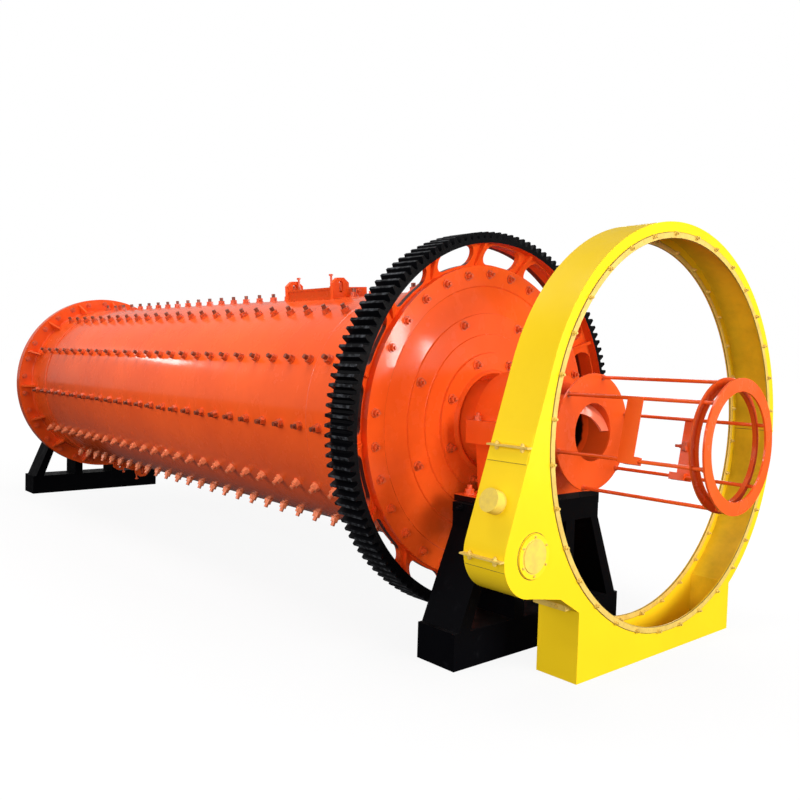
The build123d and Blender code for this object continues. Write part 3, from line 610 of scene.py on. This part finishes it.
def turns(count, start):
    """Number and angle of each place around a circle."""
    return [(step, start + step * 2 * pi / count) for step in range(count)]


def spin(bm, geom, centre, steps):
    """Turn a section once round an axis along X."""
    bmesh.ops.spin(bm, geom=geom, cent=centre, axis=X_AXIS, angle=2 * pi, steps=steps, use_merge=True,
                   use_duplicate=False)


def spin_ring(bm, centre, radius, bead, steps=120):
    """Round bead about a centre, in the plane across the mill axis."""
    top = Matrix.Translation((centre[0], centre[1], centre[2] + radius)) @ Matrix.Rotation(pi / 2, 4, "X")
    start = bmesh.ops.create_circle(bm, cap_ends=False, segments=6, radius=bead, matrix=top)
    edges = list({edge for vert in start["verts"] for edge in vert.link_edges})
    spin(bm, start["verts"] + edges, centre, steps)


# Operators
class MILL_OT_paint_solids(bpy.types.Operator):
    """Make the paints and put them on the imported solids"""

    bl_idname = "mill.paint_solids"
    bl_label = "Paint solids"

    def execute(self, context):
        paints = context.scene.mill_paints
        drum, guard, stand = tuple(paints.drum), tuple(paints.guard), tuple(paints.stand)
        nut = shade(drum, 0.85)
        PAINTS["drum"] = gloss_paint("drum_orange", drum, coat=DRUM_COAT)
        PAINTS["bore"] = bore_paint("bore_orange", drum)
        # The flight's paler orange partly stands in for highlights
        PAINTS["flight"] = gloss_paint("flight_orange", FLIGHT_ORANGE_SHEEN, FLIGHT_DEPTH, FLIGHT_ROUGH, FLIGHT_COAT)
        PAINTS["web"] = web_paint("web_orange", drum)
        PAINTS["housing"] = housing_paint("housing_orange", drum, stand)
        # A darker copy of the drum paint, painted shade on the manholes and the cage angle ring
        PAINTS["deep"] = gloss_paint("deep_orange", shade(drum, 0.72))
        PAINTS["guard"] = guard_paint("guard_yellow", guard, tuple(paints.channel))
        PAINTS["lip"] = dull_coat("lip_ochre", tuple(paints.lip), LIP_GRIME)
        PAINTS["cover"] = cover_paint("cover_ochre", guard, COVER_OCHRE)
        PAINTS["seam"] = seam_paint("guard_seam")
        PAINTS["stand"] = satin_black("stand_black", stand)
        PAINTS["gear"] = gear_paint("gear_black", stand, drum)
        PAINTS["bolt"] = bolt_paint("bolt_orange", nut, nut)
        # Low liner bolts are painted paler as highlight
        PAINTS["liner"] = bolt_paint("liner_bolt_orange", nut, NUT_HIGHLIGHT)
        PAINTS["thread"] = thread_paint("thread_steel")
        PAINTS["weld"] = weld_paint("weld_orange", drum)
        for paint, names in NODE_PAINTS.items():
            for name in names:
                slots = frame["nodes"][name].data.materials
                slots.clear()
                slots.append(PAINTS[paint])
        return {"FINISHED"}


# Rows of liner bolts that the manholes break, and the room left beside a neck
TOP_MANHOLE_ROW, LOW_MANHOLE_ROW = 3, 9
NECK_ROOM = 0.06


class MILL_OT_liner_bolts(bpy.types.Operator):
    """Rows of liner bolts along the shell"""

    bl_idname = "mill.liner_bolts"
    bl_label = "Liner bolts"

    def execute(self, context):
        sizes = context.scene.mill_fasteners
        necks = {TOP_MANHOLE_ROW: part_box("top_manhole_neck"), LOW_MANHOLE_ROW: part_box("low_manhole_neck")}
        bm = bmesh.new()
        studs = bmesh.new()
        for row, angle in turns(sizes.liner_rows, sizes.liner_start):
            out = Vector((0, cos(angle), sin(angle)))
            for step in range(sizes.liner_count):
                x = sizes.liner_first_x - step * sizes.liner_pitch
                if row in necks and necks[row][0].x - NECK_ROOM < x < necks[row][1].x + NECK_ROOM:
                    continue
                on_plate = COLLAR_JOINTS[1] <= x <= COLLAR_JOINTS[0]
                radius = COLLAR_R - COLLAR_STEP if on_plate else COLLAR_R
                add_bolt(bm, around(radius, angle, x), out, (sizes.washer_radius, *LINER_BOLT),
                         step * LINER_TURN, studs)
        keep_piece("liner_bolts", bm, "liner", DRUM)
        keep_piece("liner_studs", studs, "thread", DRUM)
        return {"FINISHED"}


# Flange bolts start at an angle, and the photograph shows one of them missing on the discharge head.
# The head's own bolts stand on two circles, on steps that rise over the flange.
FLANGE_START = radians(7.5)
MISSING_BOLT = 13
HEAD_CIRCLES = ((0.720, 0.008), (0.432, 0.040))
HEAD_BOLTS = 8
HEAD_START = radians(22.5)


class MILL_OT_flange_bolts(bpy.types.Operator):
    """Bolts of both drum flanges and of the discharge head"""

    bl_idname = "mill.flange_bolts"
    bl_label = "Flange and head bolts"

    def execute(self, context):
        sizes = context.scene.mill_fasteners
        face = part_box("discharge_head")[1].x - HEAD_RISE
        web_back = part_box("discharge_flange")[0].x
        feed_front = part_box("feed_flange")[0].x + FLANGE_T
        feed_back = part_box("feed_head")[0].x + HEAD_RISE
        bm = bmesh.new()
        for step, angle in turns(sizes.flange_count, FLANGE_START):
            for x, way in ((face, 1), (web_back, -1), (feed_front, 1), (feed_back, -1)):
                if x == face and step == MISSING_BOLT:
                    continue
                add_bolt(bm, around(sizes.flange_circle, angle, x), (way, 0, 0), FLANGE_BOLT, step * FLANGE_TURN)
        for circle, rise in HEAD_CIRCLES:
            for step, angle in turns(HEAD_BOLTS, HEAD_START):
                add_bolt(bm, around(circle, angle, face + rise), X_AXIS, HEAD_BOLT, step * HEAD_TURN)
        keep_piece("flange_bolts", bm, "bolt", DRUM)
        return {"FINISHED"}


# Thickness of the beads at the flanges, and of those at the collar joints with their depth in the collar
FLANGE_BEAD = 0.012
JOINT_BEAD = 0.008
JOINT_DEPTH = 0.006


class MILL_OT_weld_beads(bpy.types.Operator):
    """Weld beads around the drum"""

    bl_idname = "mill.weld_beads"
    bl_label = "Weld beads"

    def execute(self, context):
        flange_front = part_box("feed_flange")[0].x + FLANGE_T
        flange_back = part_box("discharge_flange")[0].x
        bm = bmesh.new()
        for x in (flange_front, flange_back):
            spin_ring(bm, (x, 0, AXIS_Z), COLLAR_R, FLANGE_BEAD)
        for x in COLLAR_JOINTS:
            spin_ring(bm, (x, 0, AXIS_Z), COLLAR_R - JOINT_DEPTH, JOINT_BEAD)
        keep_piece("shell_welds", bm, "weld", DRUM)
        return {"FINISHED"}


# Half the spacing of a bearing's bolts along X, and their distances from the axis across it
BEARING_BOLT_X = 0.12
FOOT_BOLT_Y = 0.455
CAP_BOLT_Y = 0.402


class MILL_OT_bearing_bolts(bpy.types.Operator):
    """Cap and foot bolts of both bearings"""

    bl_idname = "mill.bearing_bolts"
    bl_label = "Bearing bolts"

    def execute(self, context):
        bm = bmesh.new()
        for end in ("discharge", "feed"):
            low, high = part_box(f"{end}_bearing_base")
            middle = (low.x + high.x) / 2
            for side in (-1, 1):
                for x in (middle - BEARING_BOLT_X, middle + BEARING_BOLT_X):
                    add_bolt(bm, (x, side * FOOT_BOLT_Y, low.z + BEARING_FOOT_T), (0, 0, 1), FOOT_BOLT)
                    add_bolt(bm, (x, side * CAP_BOLT_Y, AXIS_Z + BEARING_SPLIT_T), (0, 0, 1), CAP_BOLT)
        keep_piece("bearing_bolts", bm, "bolt", FRAME)
        return {"FINISHED"}


# Bolts of the guard: depth inside the seal ring's edge; circle, count, start and seat on the pinion cover;
# places on a split flange as shares of its length and distance from its edge
LIP_BOLT_INSET = 0.008
COVER_BOLT_R = 0.109
COVER_BOLTS = 6
COVER_BOLT_START = radians(30)
COVER_BOLT_SEAT = 0.010
SPLIT_BOLT_SHARES = (0.20, 0.82)
SPLIT_BOLT_EDGE = 0.022


class MILL_OT_guard_bolts(bpy.types.Operator):
    """Bolts of the guard's seal rings, splits and pinion cover"""

    bl_idname = "mill.guard_bolts"
    bl_label = "Guard bolts"

    def execute(self, context):
        sizes = context.scene.mill_fasteners
        bm = bmesh.new()
        count = round(2 * pi / sizes.lip_step)
        circle = LIP_R - LIP_BOLT_INSET
        for name in ("guard_front_lip", "guard_rear_lip"):
            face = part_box(name)[1].x
            for step, angle in turns(count, pi / count):
                spot = (face, GUARD_Y + circle * cos(angle), GUARD_Z + circle * sin(angle))
                add_bolt(bm, spot, X_AXIS, LIP_BOLT, step * LIP_TURN)
        for _, angle in turns(COVER_BOLTS, COVER_BOLT_START):
            spot = (COVER_LOW.x + COVER_BOLT_SEAT, COVER_Y + COVER_BOLT_R * cos(angle),
                    COVER_Z + COVER_BOLT_R * sin(angle))
            add_bolt(bm, spot, X_AXIS, COVER_BOLT)
        for name in ("guard_left_split", "guard_lobe_split"):
            low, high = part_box(name)
            y = low.y + SPLIT_BOLT_EDGE
            for share in SPLIT_BOLT_SHARES:
                x = low.x + share * (high.x - low.x)
                add_bolt(bm, (x, y, high.z), (0, 0, 1), SPLIT_BOLT_HEAD)
                add_bolt(bm, (x, y, low.z), (0, 0, -1), SPLIT_BOLT_NUT)
        keep_piece("guard_bolts", bm, "lip", FRAME)
        return {"FINISHED"}


# Legs of the split angles: where each starts and ends down the flank, thickness and room at the ends
LEG_SPANS = ((0.024, 0.098), (-0.080, -0.006))
LEG_T = 0.004
LEG_ROOM = 0.012
BAR_EDGE = 0.0015

# Bracket in the notch under the lobe: from the pinion cover's middle, and from there its parts and bolt
BRACKET_DROP = Vector((0, 0.358, -0.363))
BRACKET_ROOM = 0.060
BRACKET_SHIFT = Vector((-0.010, 0, 0))
BRACKET_T = 0.006
BRACKET_HIGH = 0.034
EAR_SIZE = (0.006, 0.052, 0.030)
EAR_INSET = 0.040
BRACKET_BOLT_SPOT = Vector((0.045, -0.003, 0))

# Seam lines: thickness, widths and room at the ends, then where they lie: down and out from the corner of the
# left split, inside the right split, around the seal rings, round the pinion cover (a painted shadow) and under the
# lobe split
SEAM_T = 0.0016
SPLIT_SEAM, LEG_SEAM = 0.004, 0.003
SPLIT_SEAM_ROOM, LEG_SEAM_ROOM = 0.020, 0.014
LEG_SEAM_DROP = 0.0988
LEG_SEAM_RISE = 0.0006
RIGHT_SEAM_DEPTH = 0.0100
LIP_SEAMS = (LIP_R + 0.0015, LIP_R - 0.0335)
LIP_SEAM_BEAD, LIP_SEAM_SINK, LIP_SEAM_STEPS = 0.003, 0.004, 160
# Dark line round the pinion cover, a painted shadow of its edge
COVER_SHADOW_R, COVER_SHADOW_BEAD, COVER_SHADOW_STEPS = 0.130, 0.0022, 48
LOBE_SEAM_DROP = 0.062


class MILL_OT_guard_seams(bpy.types.Operator):
    """Legs of the split angles on the guard's flank, the notch bracket, the open seam lines and a painted shadow
    line round the pinion cover
    """

    bl_idname = "mill.guard_seams"
    bl_label = "Guard seams"

    def execute(self, context):
        lean = context.scene.mill_fasteners.flank_lean
        low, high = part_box("guard_left_split")
        wide = high.x - low.x
        middle = (low.x + high.x) / 2
        down = Vector((0, -sin(lean), -cos(lean)))
        out = Vector((0, -cos(lean), sin(lean)))
        corner = Vector((middle, high.y, high.z))
        bm = bmesh.new()
        for start, end in LEG_SPANS:
            centre = corner + down * (start + end) / 2 + out * LEG_T / 2
            add_bar(bm, axes_at(centre, X_AXIS, out, down), (wide - LEG_ROOM, LEG_T, end - start), BAR_EDGE)
        keep_piece("guard_split_legs", bm, "guard", FRAME)

        bm = bmesh.new()
        spot = Vector((middle, COVER_Y, COVER_Z)) + BRACKET_DROP
        add_bar(bm, Matrix.Translation(spot + BRACKET_SHIFT), (wide - BRACKET_ROOM, BRACKET_T, BRACKET_HIGH),
                BAR_EDGE)
        ear = Vector((wide / 2 - EAR_INSET, EAR_SIZE[1] / 2, 0))
        add_bar(bm, Matrix.Translation(spot + ear), EAR_SIZE, BAR_EDGE)
        add_bolt(bm, spot + BRACKET_BOLT_SPOT, (0, -1, 0), BRACKET_BOLT)
        keep_piece("guard_notch_bracket", bm, "lip", FRAME)

        bm = bmesh.new()
        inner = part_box("guard_right_split")[0].y - RIGHT_SEAM_DEPTH
        add_bar(bm, Matrix.Translation((middle, inner, (low.z + high.z) / 2)),
                (wide - SPLIT_SEAM_ROOM, SEAM_T, SPLIT_SEAM))
        add_bar(bm, axes_at(corner + down * LEG_SEAM_DROP + out * LEG_SEAM_RISE, X_AXIS, out, down),
                (wide - LEG_SEAM_ROOM, SEAM_T, LEG_SEAM))
        for name in ("guard_front_lip", "guard_rear_lip"):
            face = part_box(name)[1].x
            for radius in LIP_SEAMS:
                spin_ring(bm, (face - LIP_SEAM_SINK, GUARD_Y, GUARD_Z), radius, LIP_SEAM_BEAD, LIP_SEAM_STEPS)
        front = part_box("guard_lower_front")[1].x
        # The dark line round the pinion cover is a painted shadow of its edge
        spin_ring(bm, (front, COVER_Y, COVER_Z), COVER_SHADOW_R, COVER_SHADOW_BEAD, COVER_SHADOW_STEPS)
        lobe_low, lobe_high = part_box("guard_lobe_split")
        lobe_r = COVER_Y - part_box("guard_lower_wall")[0].y
        z = (lobe_low.z + lobe_high.z) / 2 - LOBE_SEAM_DROP
        y = COVER_Y - (lobe_r ** 2 - (z - COVER_Z) ** 2) ** 0.5
        add_bar(bm, frame_at((middle, y, z), (0, y - COVER_Y, z - COVER_Z)),
                (LEG_SEAM, wide - LEG_SEAM_ROOM, SEAM_T))
        keep_piece("guard_seam_lines", bm, "seam", FRAME)
        return {"FINISHED"}


# Manhole clamps, in metres from the cover's ends, across the manhole and over the shell's collar.
# A screw is a stack of a nut, a shank and a head, each with its radius, low and high ends and sides.
SCREW_INSET = 0.018
SCREW_SIDES_Y = (-0.066, -0.150)
SCREW_SEAT = 0.074
SCREW_STACK = ((0.017, -0.001, 0.012, 6), (0.010, 0.012, 0.094, 8), (0.018, 0.094, 0.110, 6))
LATCH_OUT, LATCH_Y, LATCH_UP = 0.020, -0.0945, 0.078
LATCH_SIZE = (0.022, 0.040, 0.070)
LATCH_EDGE = 0.004
YOKE_BOLT_Y, YOKE_BOLT_UP = 0.090, 0.042


def over_collar(x, sideways, up, rise):
    """Point over the shell's collar, shifted sideways."""
    return Vector((x, 0, AXIS_Z)) + sideways + up * (COLLAR_R + rise)


class MILL_OT_manhole_bolts(bpy.types.Operator):
    """Clamping bolts of both manholes"""

    bl_idname = "mill.manhole_bolts"
    bl_label = "Manhole bolts"

    def execute(self, context):
        tilt = context.scene.mill_fasteners.liner_start
        across = Vector((0, cos(tilt), sin(tilt)))
        bm = bmesh.new()
        for name, way in (("top_manhole", 1), ("low_manhole", -1)):
            low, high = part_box(f"{name}_yokes")
            cover_low, cover_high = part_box(f"{name}_cover")
            up = Vector((0, -sin(tilt), cos(tilt))) * way
            for x, side in zip((cover_low.x + SCREW_INSET, cover_high.x - SCREW_INSET), SCREW_SIDES_Y):
                place = frame_at(over_collar(x, across * side, up, SCREW_SEAT), up)
                for radius, bottom, top, sides in SCREW_STACK:
                    add_disc(bm, place, radius, bottom, top, sides)
            for x in (cover_low.x - LATCH_OUT, cover_high.x + LATCH_OUT):
                spot = over_collar(x, across * LATCH_Y, up, LATCH_UP)
                add_bar(bm, axes_at(spot, X_AXIS, across, up * way), LATCH_SIZE, LATCH_EDGE)
            for x, side in ((low.x, -1), (high.x, 1)):
                spot = over_collar(x, across * YOKE_BOLT_Y, up, YOKE_BOLT_UP)
                add_bolt(bm, spot, (side, 0, 0), YOKE_BOLT)
        keep_piece("manhole_bolts", bm, "bolt", DRUM)
        return {"FINISHED"}


# Cage: number of rods, their circle and the angle of the first, and the block on the right strap, midway
# between the last rod and the first
CAGE_RODS = 6
CAGE_ROD_R = 0.355
CAGE_ROD_START = radians(17)
STRAP_ANGLE = CAGE_ROD_START + 5.5 * 2 * pi / CAGE_RODS
STRAP_R = 0.318
BLOCK_SIZE = (0.030, 0.060, 0.028)
BLOCK_ALONG = 0.010
BLOCK_EDGE = 0.003


class MILL_OT_cage_fittings(bpy.types.Operator):
    """Rod nuts and the strap block with its bolt on the discharge cage"""

    bl_idname = "mill.cage_fittings"
    bl_label = "Cage fittings"

    def execute(self, context):
        disc_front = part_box("cage_disc")[1].x
        ring_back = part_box("cage_front_ring")[0].x
        bm = bmesh.new()
        for _, angle in turns(CAGE_RODS, CAGE_ROD_START):
            for x, way in ((disc_front, 1), (ring_back, -1)):
                add_bolt(bm, around(CAGE_ROD_R, angle, x), (way, 0, 0), ROD_NUT)
        low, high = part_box("cage_right_strap")
        out = Vector((0, cos(STRAP_ANGLE), sin(STRAP_ANGLE)))
        along = Vector((0, -sin(STRAP_ANGLE), cos(STRAP_ANGLE)))
        block = (Vector(((low.x + high.x) / 2, 0, AXIS_Z)) + out * (STRAP_R - BLOCK_SIZE[2] / 2)
                 + along * BLOCK_ALONG)
        add_bar(bm, axes_at(block, X_AXIS, along, out), BLOCK_SIZE, BLOCK_EDGE)
        add_bolt(bm, block - X_AXIS * BLOCK_SIZE[0] / 2, (-1, 0, 0), STRAP_BOLT)
        keep_piece("cage_fittings", bm, "bolt", DRUM)
        return {"FINISHED"}


# Rolled angle of the cage: width of the leg along X, depth of the other leg, thickness and softened corners
ANGLE_LEG = 0.027
ANGLE_DEPTH = 0.058
ANGLE_T = 0.010
ANGLE_EDGE = 0.0012
ANGLE_STEPS = 96


class MILL_OT_cage_angle_ring(bpy.types.Operator):
    """Rolled angle ring of the discharge cage, with its narrow leg towards the front ring"""

    bl_idname = "mill.cage_angle_ring"
    bl_label = "Cage angle ring"

    def execute(self, context):
        low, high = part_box("cage_rear_ring")
        outer = (high.y - low.y) / 2
        inner = outer - ANGLE_DEPTH
        back = low.x
        section = [(back, outer), (back + ANGLE_T, outer), (back + ANGLE_T, inner + ANGLE_T),
                   (back + ANGLE_LEG, inner + ANGLE_T), (back + ANGLE_LEG, inner), (back, inner)]
        bm = bmesh.new()
        face = bm.faces.new([bm.verts.new((x, 0, AXIS_Z + radius)) for x, radius in section])
        bmesh.ops.bevel(bm, geom=list(face.verts), offset=ANGLE_EDGE, offset_type="OFFSET", affect="VERTICES",
                        segments=1, profile=0.5, material=-1)
        edges = list(bm.edges)
        bmesh.ops.delete(bm, geom=list(bm.faces), context="FACES_ONLY")
        spin(bm, list(bm.verts) + edges, (0, 0, AXIS_Z), ANGLE_STEPS)
        # The angle ring takes the darker copy of the drum paint, painted shade
        piece = keep_piece("cage_angle_ring", bm, "deep", DRUM)
        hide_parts("cage_rear_ring")
        return {"FINISHED"}


# Adjusting screws: half their spacing along X, and their depth under the top of the stand
STAND_SCREW_X = 0.085
STAND_SCREW_DROP = 0.030


class MILL_OT_stand_fittings(bpy.types.Operator):
    """Adjusting screws at the ends of both stand tops"""

    bl_idname = "mill.stand_fittings"
    bl_label = "Stand fittings"

    def execute(self, context):
        bm = bmesh.new()
        for end in ("discharge", "feed"):
            low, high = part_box(f"{end}_stand_top")
            middle = (low.x + high.x) / 2
            for side, y in ((-1, low.y), (1, high.y)):
                for x in (middle - STAND_SCREW_X, middle + STAND_SCREW_X):
                    add_bolt(bm, (x, y, high.z - STAND_SCREW_DROP), (0, side, 0), STAND_SCREW)
        keep_piece("stand_screws", bm, "stand", FRAME)
        return {"FINISHED"}


# Lamps: name, place, what it points at, width and height in metres, and spread in degrees
LAMPS = (
    ("key", (4.2, -6.6, 1.9), (-0.2, 0.0, 1.2), (3.5, 2.6), 180),
    ("side", (-3.4, -8.0, 3.4), (-3.6, 0.0, 1.4), (5.0, 2.2), 80),
    ("top", (-4.2, -1.2, 7.5), (-4.2, -0.2, 1.4), (7.0, 2.6), 95),
    ("fill", (9.0, 0.4, 3.9), (-0.3, 0.0, 1.4), (4.0, 3.6), 180),
    ("strip", (5.5, 4.25, 1.5), (0.0, -0.8, 1.6), (0.24, 2.0), 180),
    ("gleam", (-4.5, -7.5, 5.6), (-4.0, 0.0, 1.6), (9.0, 0.12), 100),
    ("back", (-3.0, 9.5, 4.5), (-3.5, 0.0, 1.4), (6.0, 3.0), 180),
    ("far", (-13.0, -4.0, 4.8), (-4.0, -0.9, 1.8), (1.2, 0.5), 180),
)

# Floor: half its width, what it sends back of the light, the white it shows under the mill and away from it,
# the distances between which that changes, and the mill's middle. Gloss mirrors a share of floor and sky.
FLOOR_HALF = 120
FLOOR_GREY = (0.06, 0.06, 0.06)
FLOOR_WHITE = (0.90, 1.0)
FLOOR_FADE = (1.5, 5.0)
MILL_MIDDLE_X = -3.2
FLOOR_MIRRORED = 0.05
SKY_MIRRORED = 0.22


class MILL_OT_stage(bpy.types.Operator):
    """Pale floor, soft light and the camera"""

    bl_idname = "mill.stage"
    bl_label = "Stage"

    def execute(self, context):
        scene = context.scene
        stage = scene.mill_stage
        scene.view_settings.view_transform = "Standard"
        make_floor()
        make_sky(scene, stage.sky_level)
        for name, place, aim, size, spread in LAMPS:
            make_lamp(name, place, aim, size, getattr(stage, f"{name}_power"), spread)
        make_camera(scene, stage)
        return {"FINISHED"}


def make_floor():
    """Wide pale floor that keeps a soft shadow."""
    bm = bmesh.new()
    bmesh.ops.create_grid(bm, x_segments=1, y_segments=1, size=FLOOR_HALF)
    mesh = bpy.data.meshes.new("floor")
    bm.to_mesh(mesh)
    bm.free()
    floor = bpy.data.objects.new("floor", mesh)
    bpy.context.scene.collection.objects.link(floor)
    tree = Tree("floor_white")
    tree.finish(FLOOR_GREY, 0.9, specular=0.0)
    path = tree.nodes.new("ShaderNodeLightPath")
    mirrored = tree.math("MULTIPLY", path.outputs["Is Glossy Ray"], FLOOR_MIRRORED)
    seen = tree.math("MAXIMUM", path.outputs["Is Camera Ray"], path.outputs["Is Transmission Ray"])
    seen = tree.math("MAXIMUM", seen, mirrored)
    x, y, _ = tree.xyz(tree.place)
    x = tree.math("MULTIPLY", tree.math("SUBTRACT", x, MILL_MIDDLE_X), 0.5)
    white = tree.remap(tree.length(x, y), *FLOOR_FADE, *FLOOR_WHITE)
    tree.link((1.0, 1.0, 1.0), tree.shader, "Emission Color")
    tree.link(tree.math("MULTIPLY", seen, white), tree.shader, "Emission Strength")
    mesh.materials.append(tree.material)


def make_sky(scene, level):
    """White all round for the eye, softer for the light."""
    world = bpy.data.worlds.new("studio")
    world.use_nodes = True
    nodes = world.node_tree.nodes
    links = world.node_tree.links
    path = nodes.new("ShaderNodeLightPath")
    seen = nodes.new("ShaderNodeMath")
    seen.operation = "MAXIMUM"
    links.new(path.outputs["Is Camera Ray"], seen.inputs[0])
    links.new(path.outputs["Is Transmission Ray"], seen.inputs[1])
    shown = nodes.new("ShaderNodeMath")
    shown.operation = "MULTIPLY_ADD"
    links.new(path.outputs["Is Glossy Ray"], shown.inputs[0])
    shown.inputs[1].default_value = SKY_MIRRORED
    links.new(seen.outputs[0], shown.inputs[2])
    strength = nodes.new("ShaderNodeMapRange")
    strength.inputs["To Min"].default_value = level
    strength.inputs["To Max"].default_value = 1.0
    links.new(shown.outputs[0], strength.inputs["Value"])
    links.new(strength.outputs["Result"], nodes["Background"].inputs["Strength"])
    nodes["Background"].inputs["Color"].default_value = (1, 1, 1, 1)
    scene.world = world


def make_lamp(name, place, aim, size, power, spread):
    """Soft area light that opens by the spread in degrees."""
    lamp = bpy.data.lights.new(name, "AREA")
    lamp.shape = "RECTANGLE"
    lamp.size, lamp.size_y = size
    lamp.energy = power
    lamp.spread = radians(spread)
    holder = bpy.data.objects.new(name, lamp)
    holder.location = place
    holder.rotation_euler = (Vector(aim) - Vector(place)).to_track_quat("-Z", "Y").to_euler()
    bpy.context.scene.collection.objects.link(holder)


def make_camera(scene, stage):
    """Camera where the photograph was taken from."""
    yaw, pitch, roll = stage.camera_yaw, stage.camera_pitch, stage.camera_roll
    ahead = Vector((-cos(yaw) * cos(pitch), -sin(yaw) * cos(pitch), sin(pitch)))
    right = ahead.cross(Vector((0, 0, 1))).normalized()
    down = ahead.cross(right)
    right, down = cos(roll) * right + sin(roll) * down, cos(roll) * down - sin(roll) * right
    lens = bpy.data.cameras.new("camera")
    lens.lens = stage.camera_lens
    lens.sensor_width = 36
    lens.clip_end = 500
    camera = bpy.data.objects.new("camera", lens)
    camera.matrix_world = axes_at(stage.camera_place, right, -down, -ahead)
    scene.collection.objects.link(camera)
    scene.camera = camera


class MILL_PT_panel(bpy.types.Panel):
    """Steps that dress the mill"""

    bl_idname = "MILL_PT_panel"
    bl_label = "Ball Mill"
    bl_space_type = "VIEW_3D"
    bl_region_type = "UI"
    bl_category = "Ball Mill"

    def draw(self, context):
        layout = self.layout
        for step in STEPS:
            layout.operator(step.bl_idname)


STEPS = (MILL_OT_paint_solids, MILL_OT_liner_bolts, MILL_OT_flange_bolts, MILL_OT_weld_beads,
         MILL_OT_bearing_bolts, MILL_OT_guard_bolts, MILL_OT_guard_seams, MILL_OT_manhole_bolts,
         MILL_OT_cage_fittings, MILL_OT_cage_angle_ring, MILL_OT_stand_fittings, MILL_OT_stage)
GROUPS = (("mill_fasteners", MillFasteners), ("mill_paints", MillPaints), ("mill_stage", MillStage))


def register():
    """Register the settings, the steps and the panel."""
    for name, group in GROUPS:
        bpy.utils.register_class(group)
        setattr(bpy.types.Scene, name, PointerProperty(type=group))
    for step in STEPS:
        bpy.utils.register_class(step)
    bpy.utils.register_class(MILL_PT_panel)


def unregister():
    """Take everything out again."""
    bpy.utils.unregister_class(MILL_PT_panel)
    for step in reversed(STEPS):
        bpy.utils.unregister_class(step)
    for name, group in reversed(GROUPS):
        delattr(bpy.types.Scene, name)
        bpy.utils.unregister_class(group)


def main():
    """Dress the mill step by step."""
    register()
    bpy.ops.mill.paint_solids()
    bpy.ops.mill.liner_bolts()
    bpy.ops.mill.flange_bolts()
    bpy.ops.mill.weld_beads()
    bpy.ops.mill.bearing_bolts()
    bpy.ops.mill.guard_bolts()
    bpy.ops.mill.guard_seams()
    bpy.ops.mill.manhole_bolts()
    bpy.ops.mill.cage_fittings()
    bpy.ops.mill.cage_angle_ring()
    bpy.ops.mill.stand_fittings()
    bpy.ops.mill.stage()


if __name__ == "__main__":
    main()
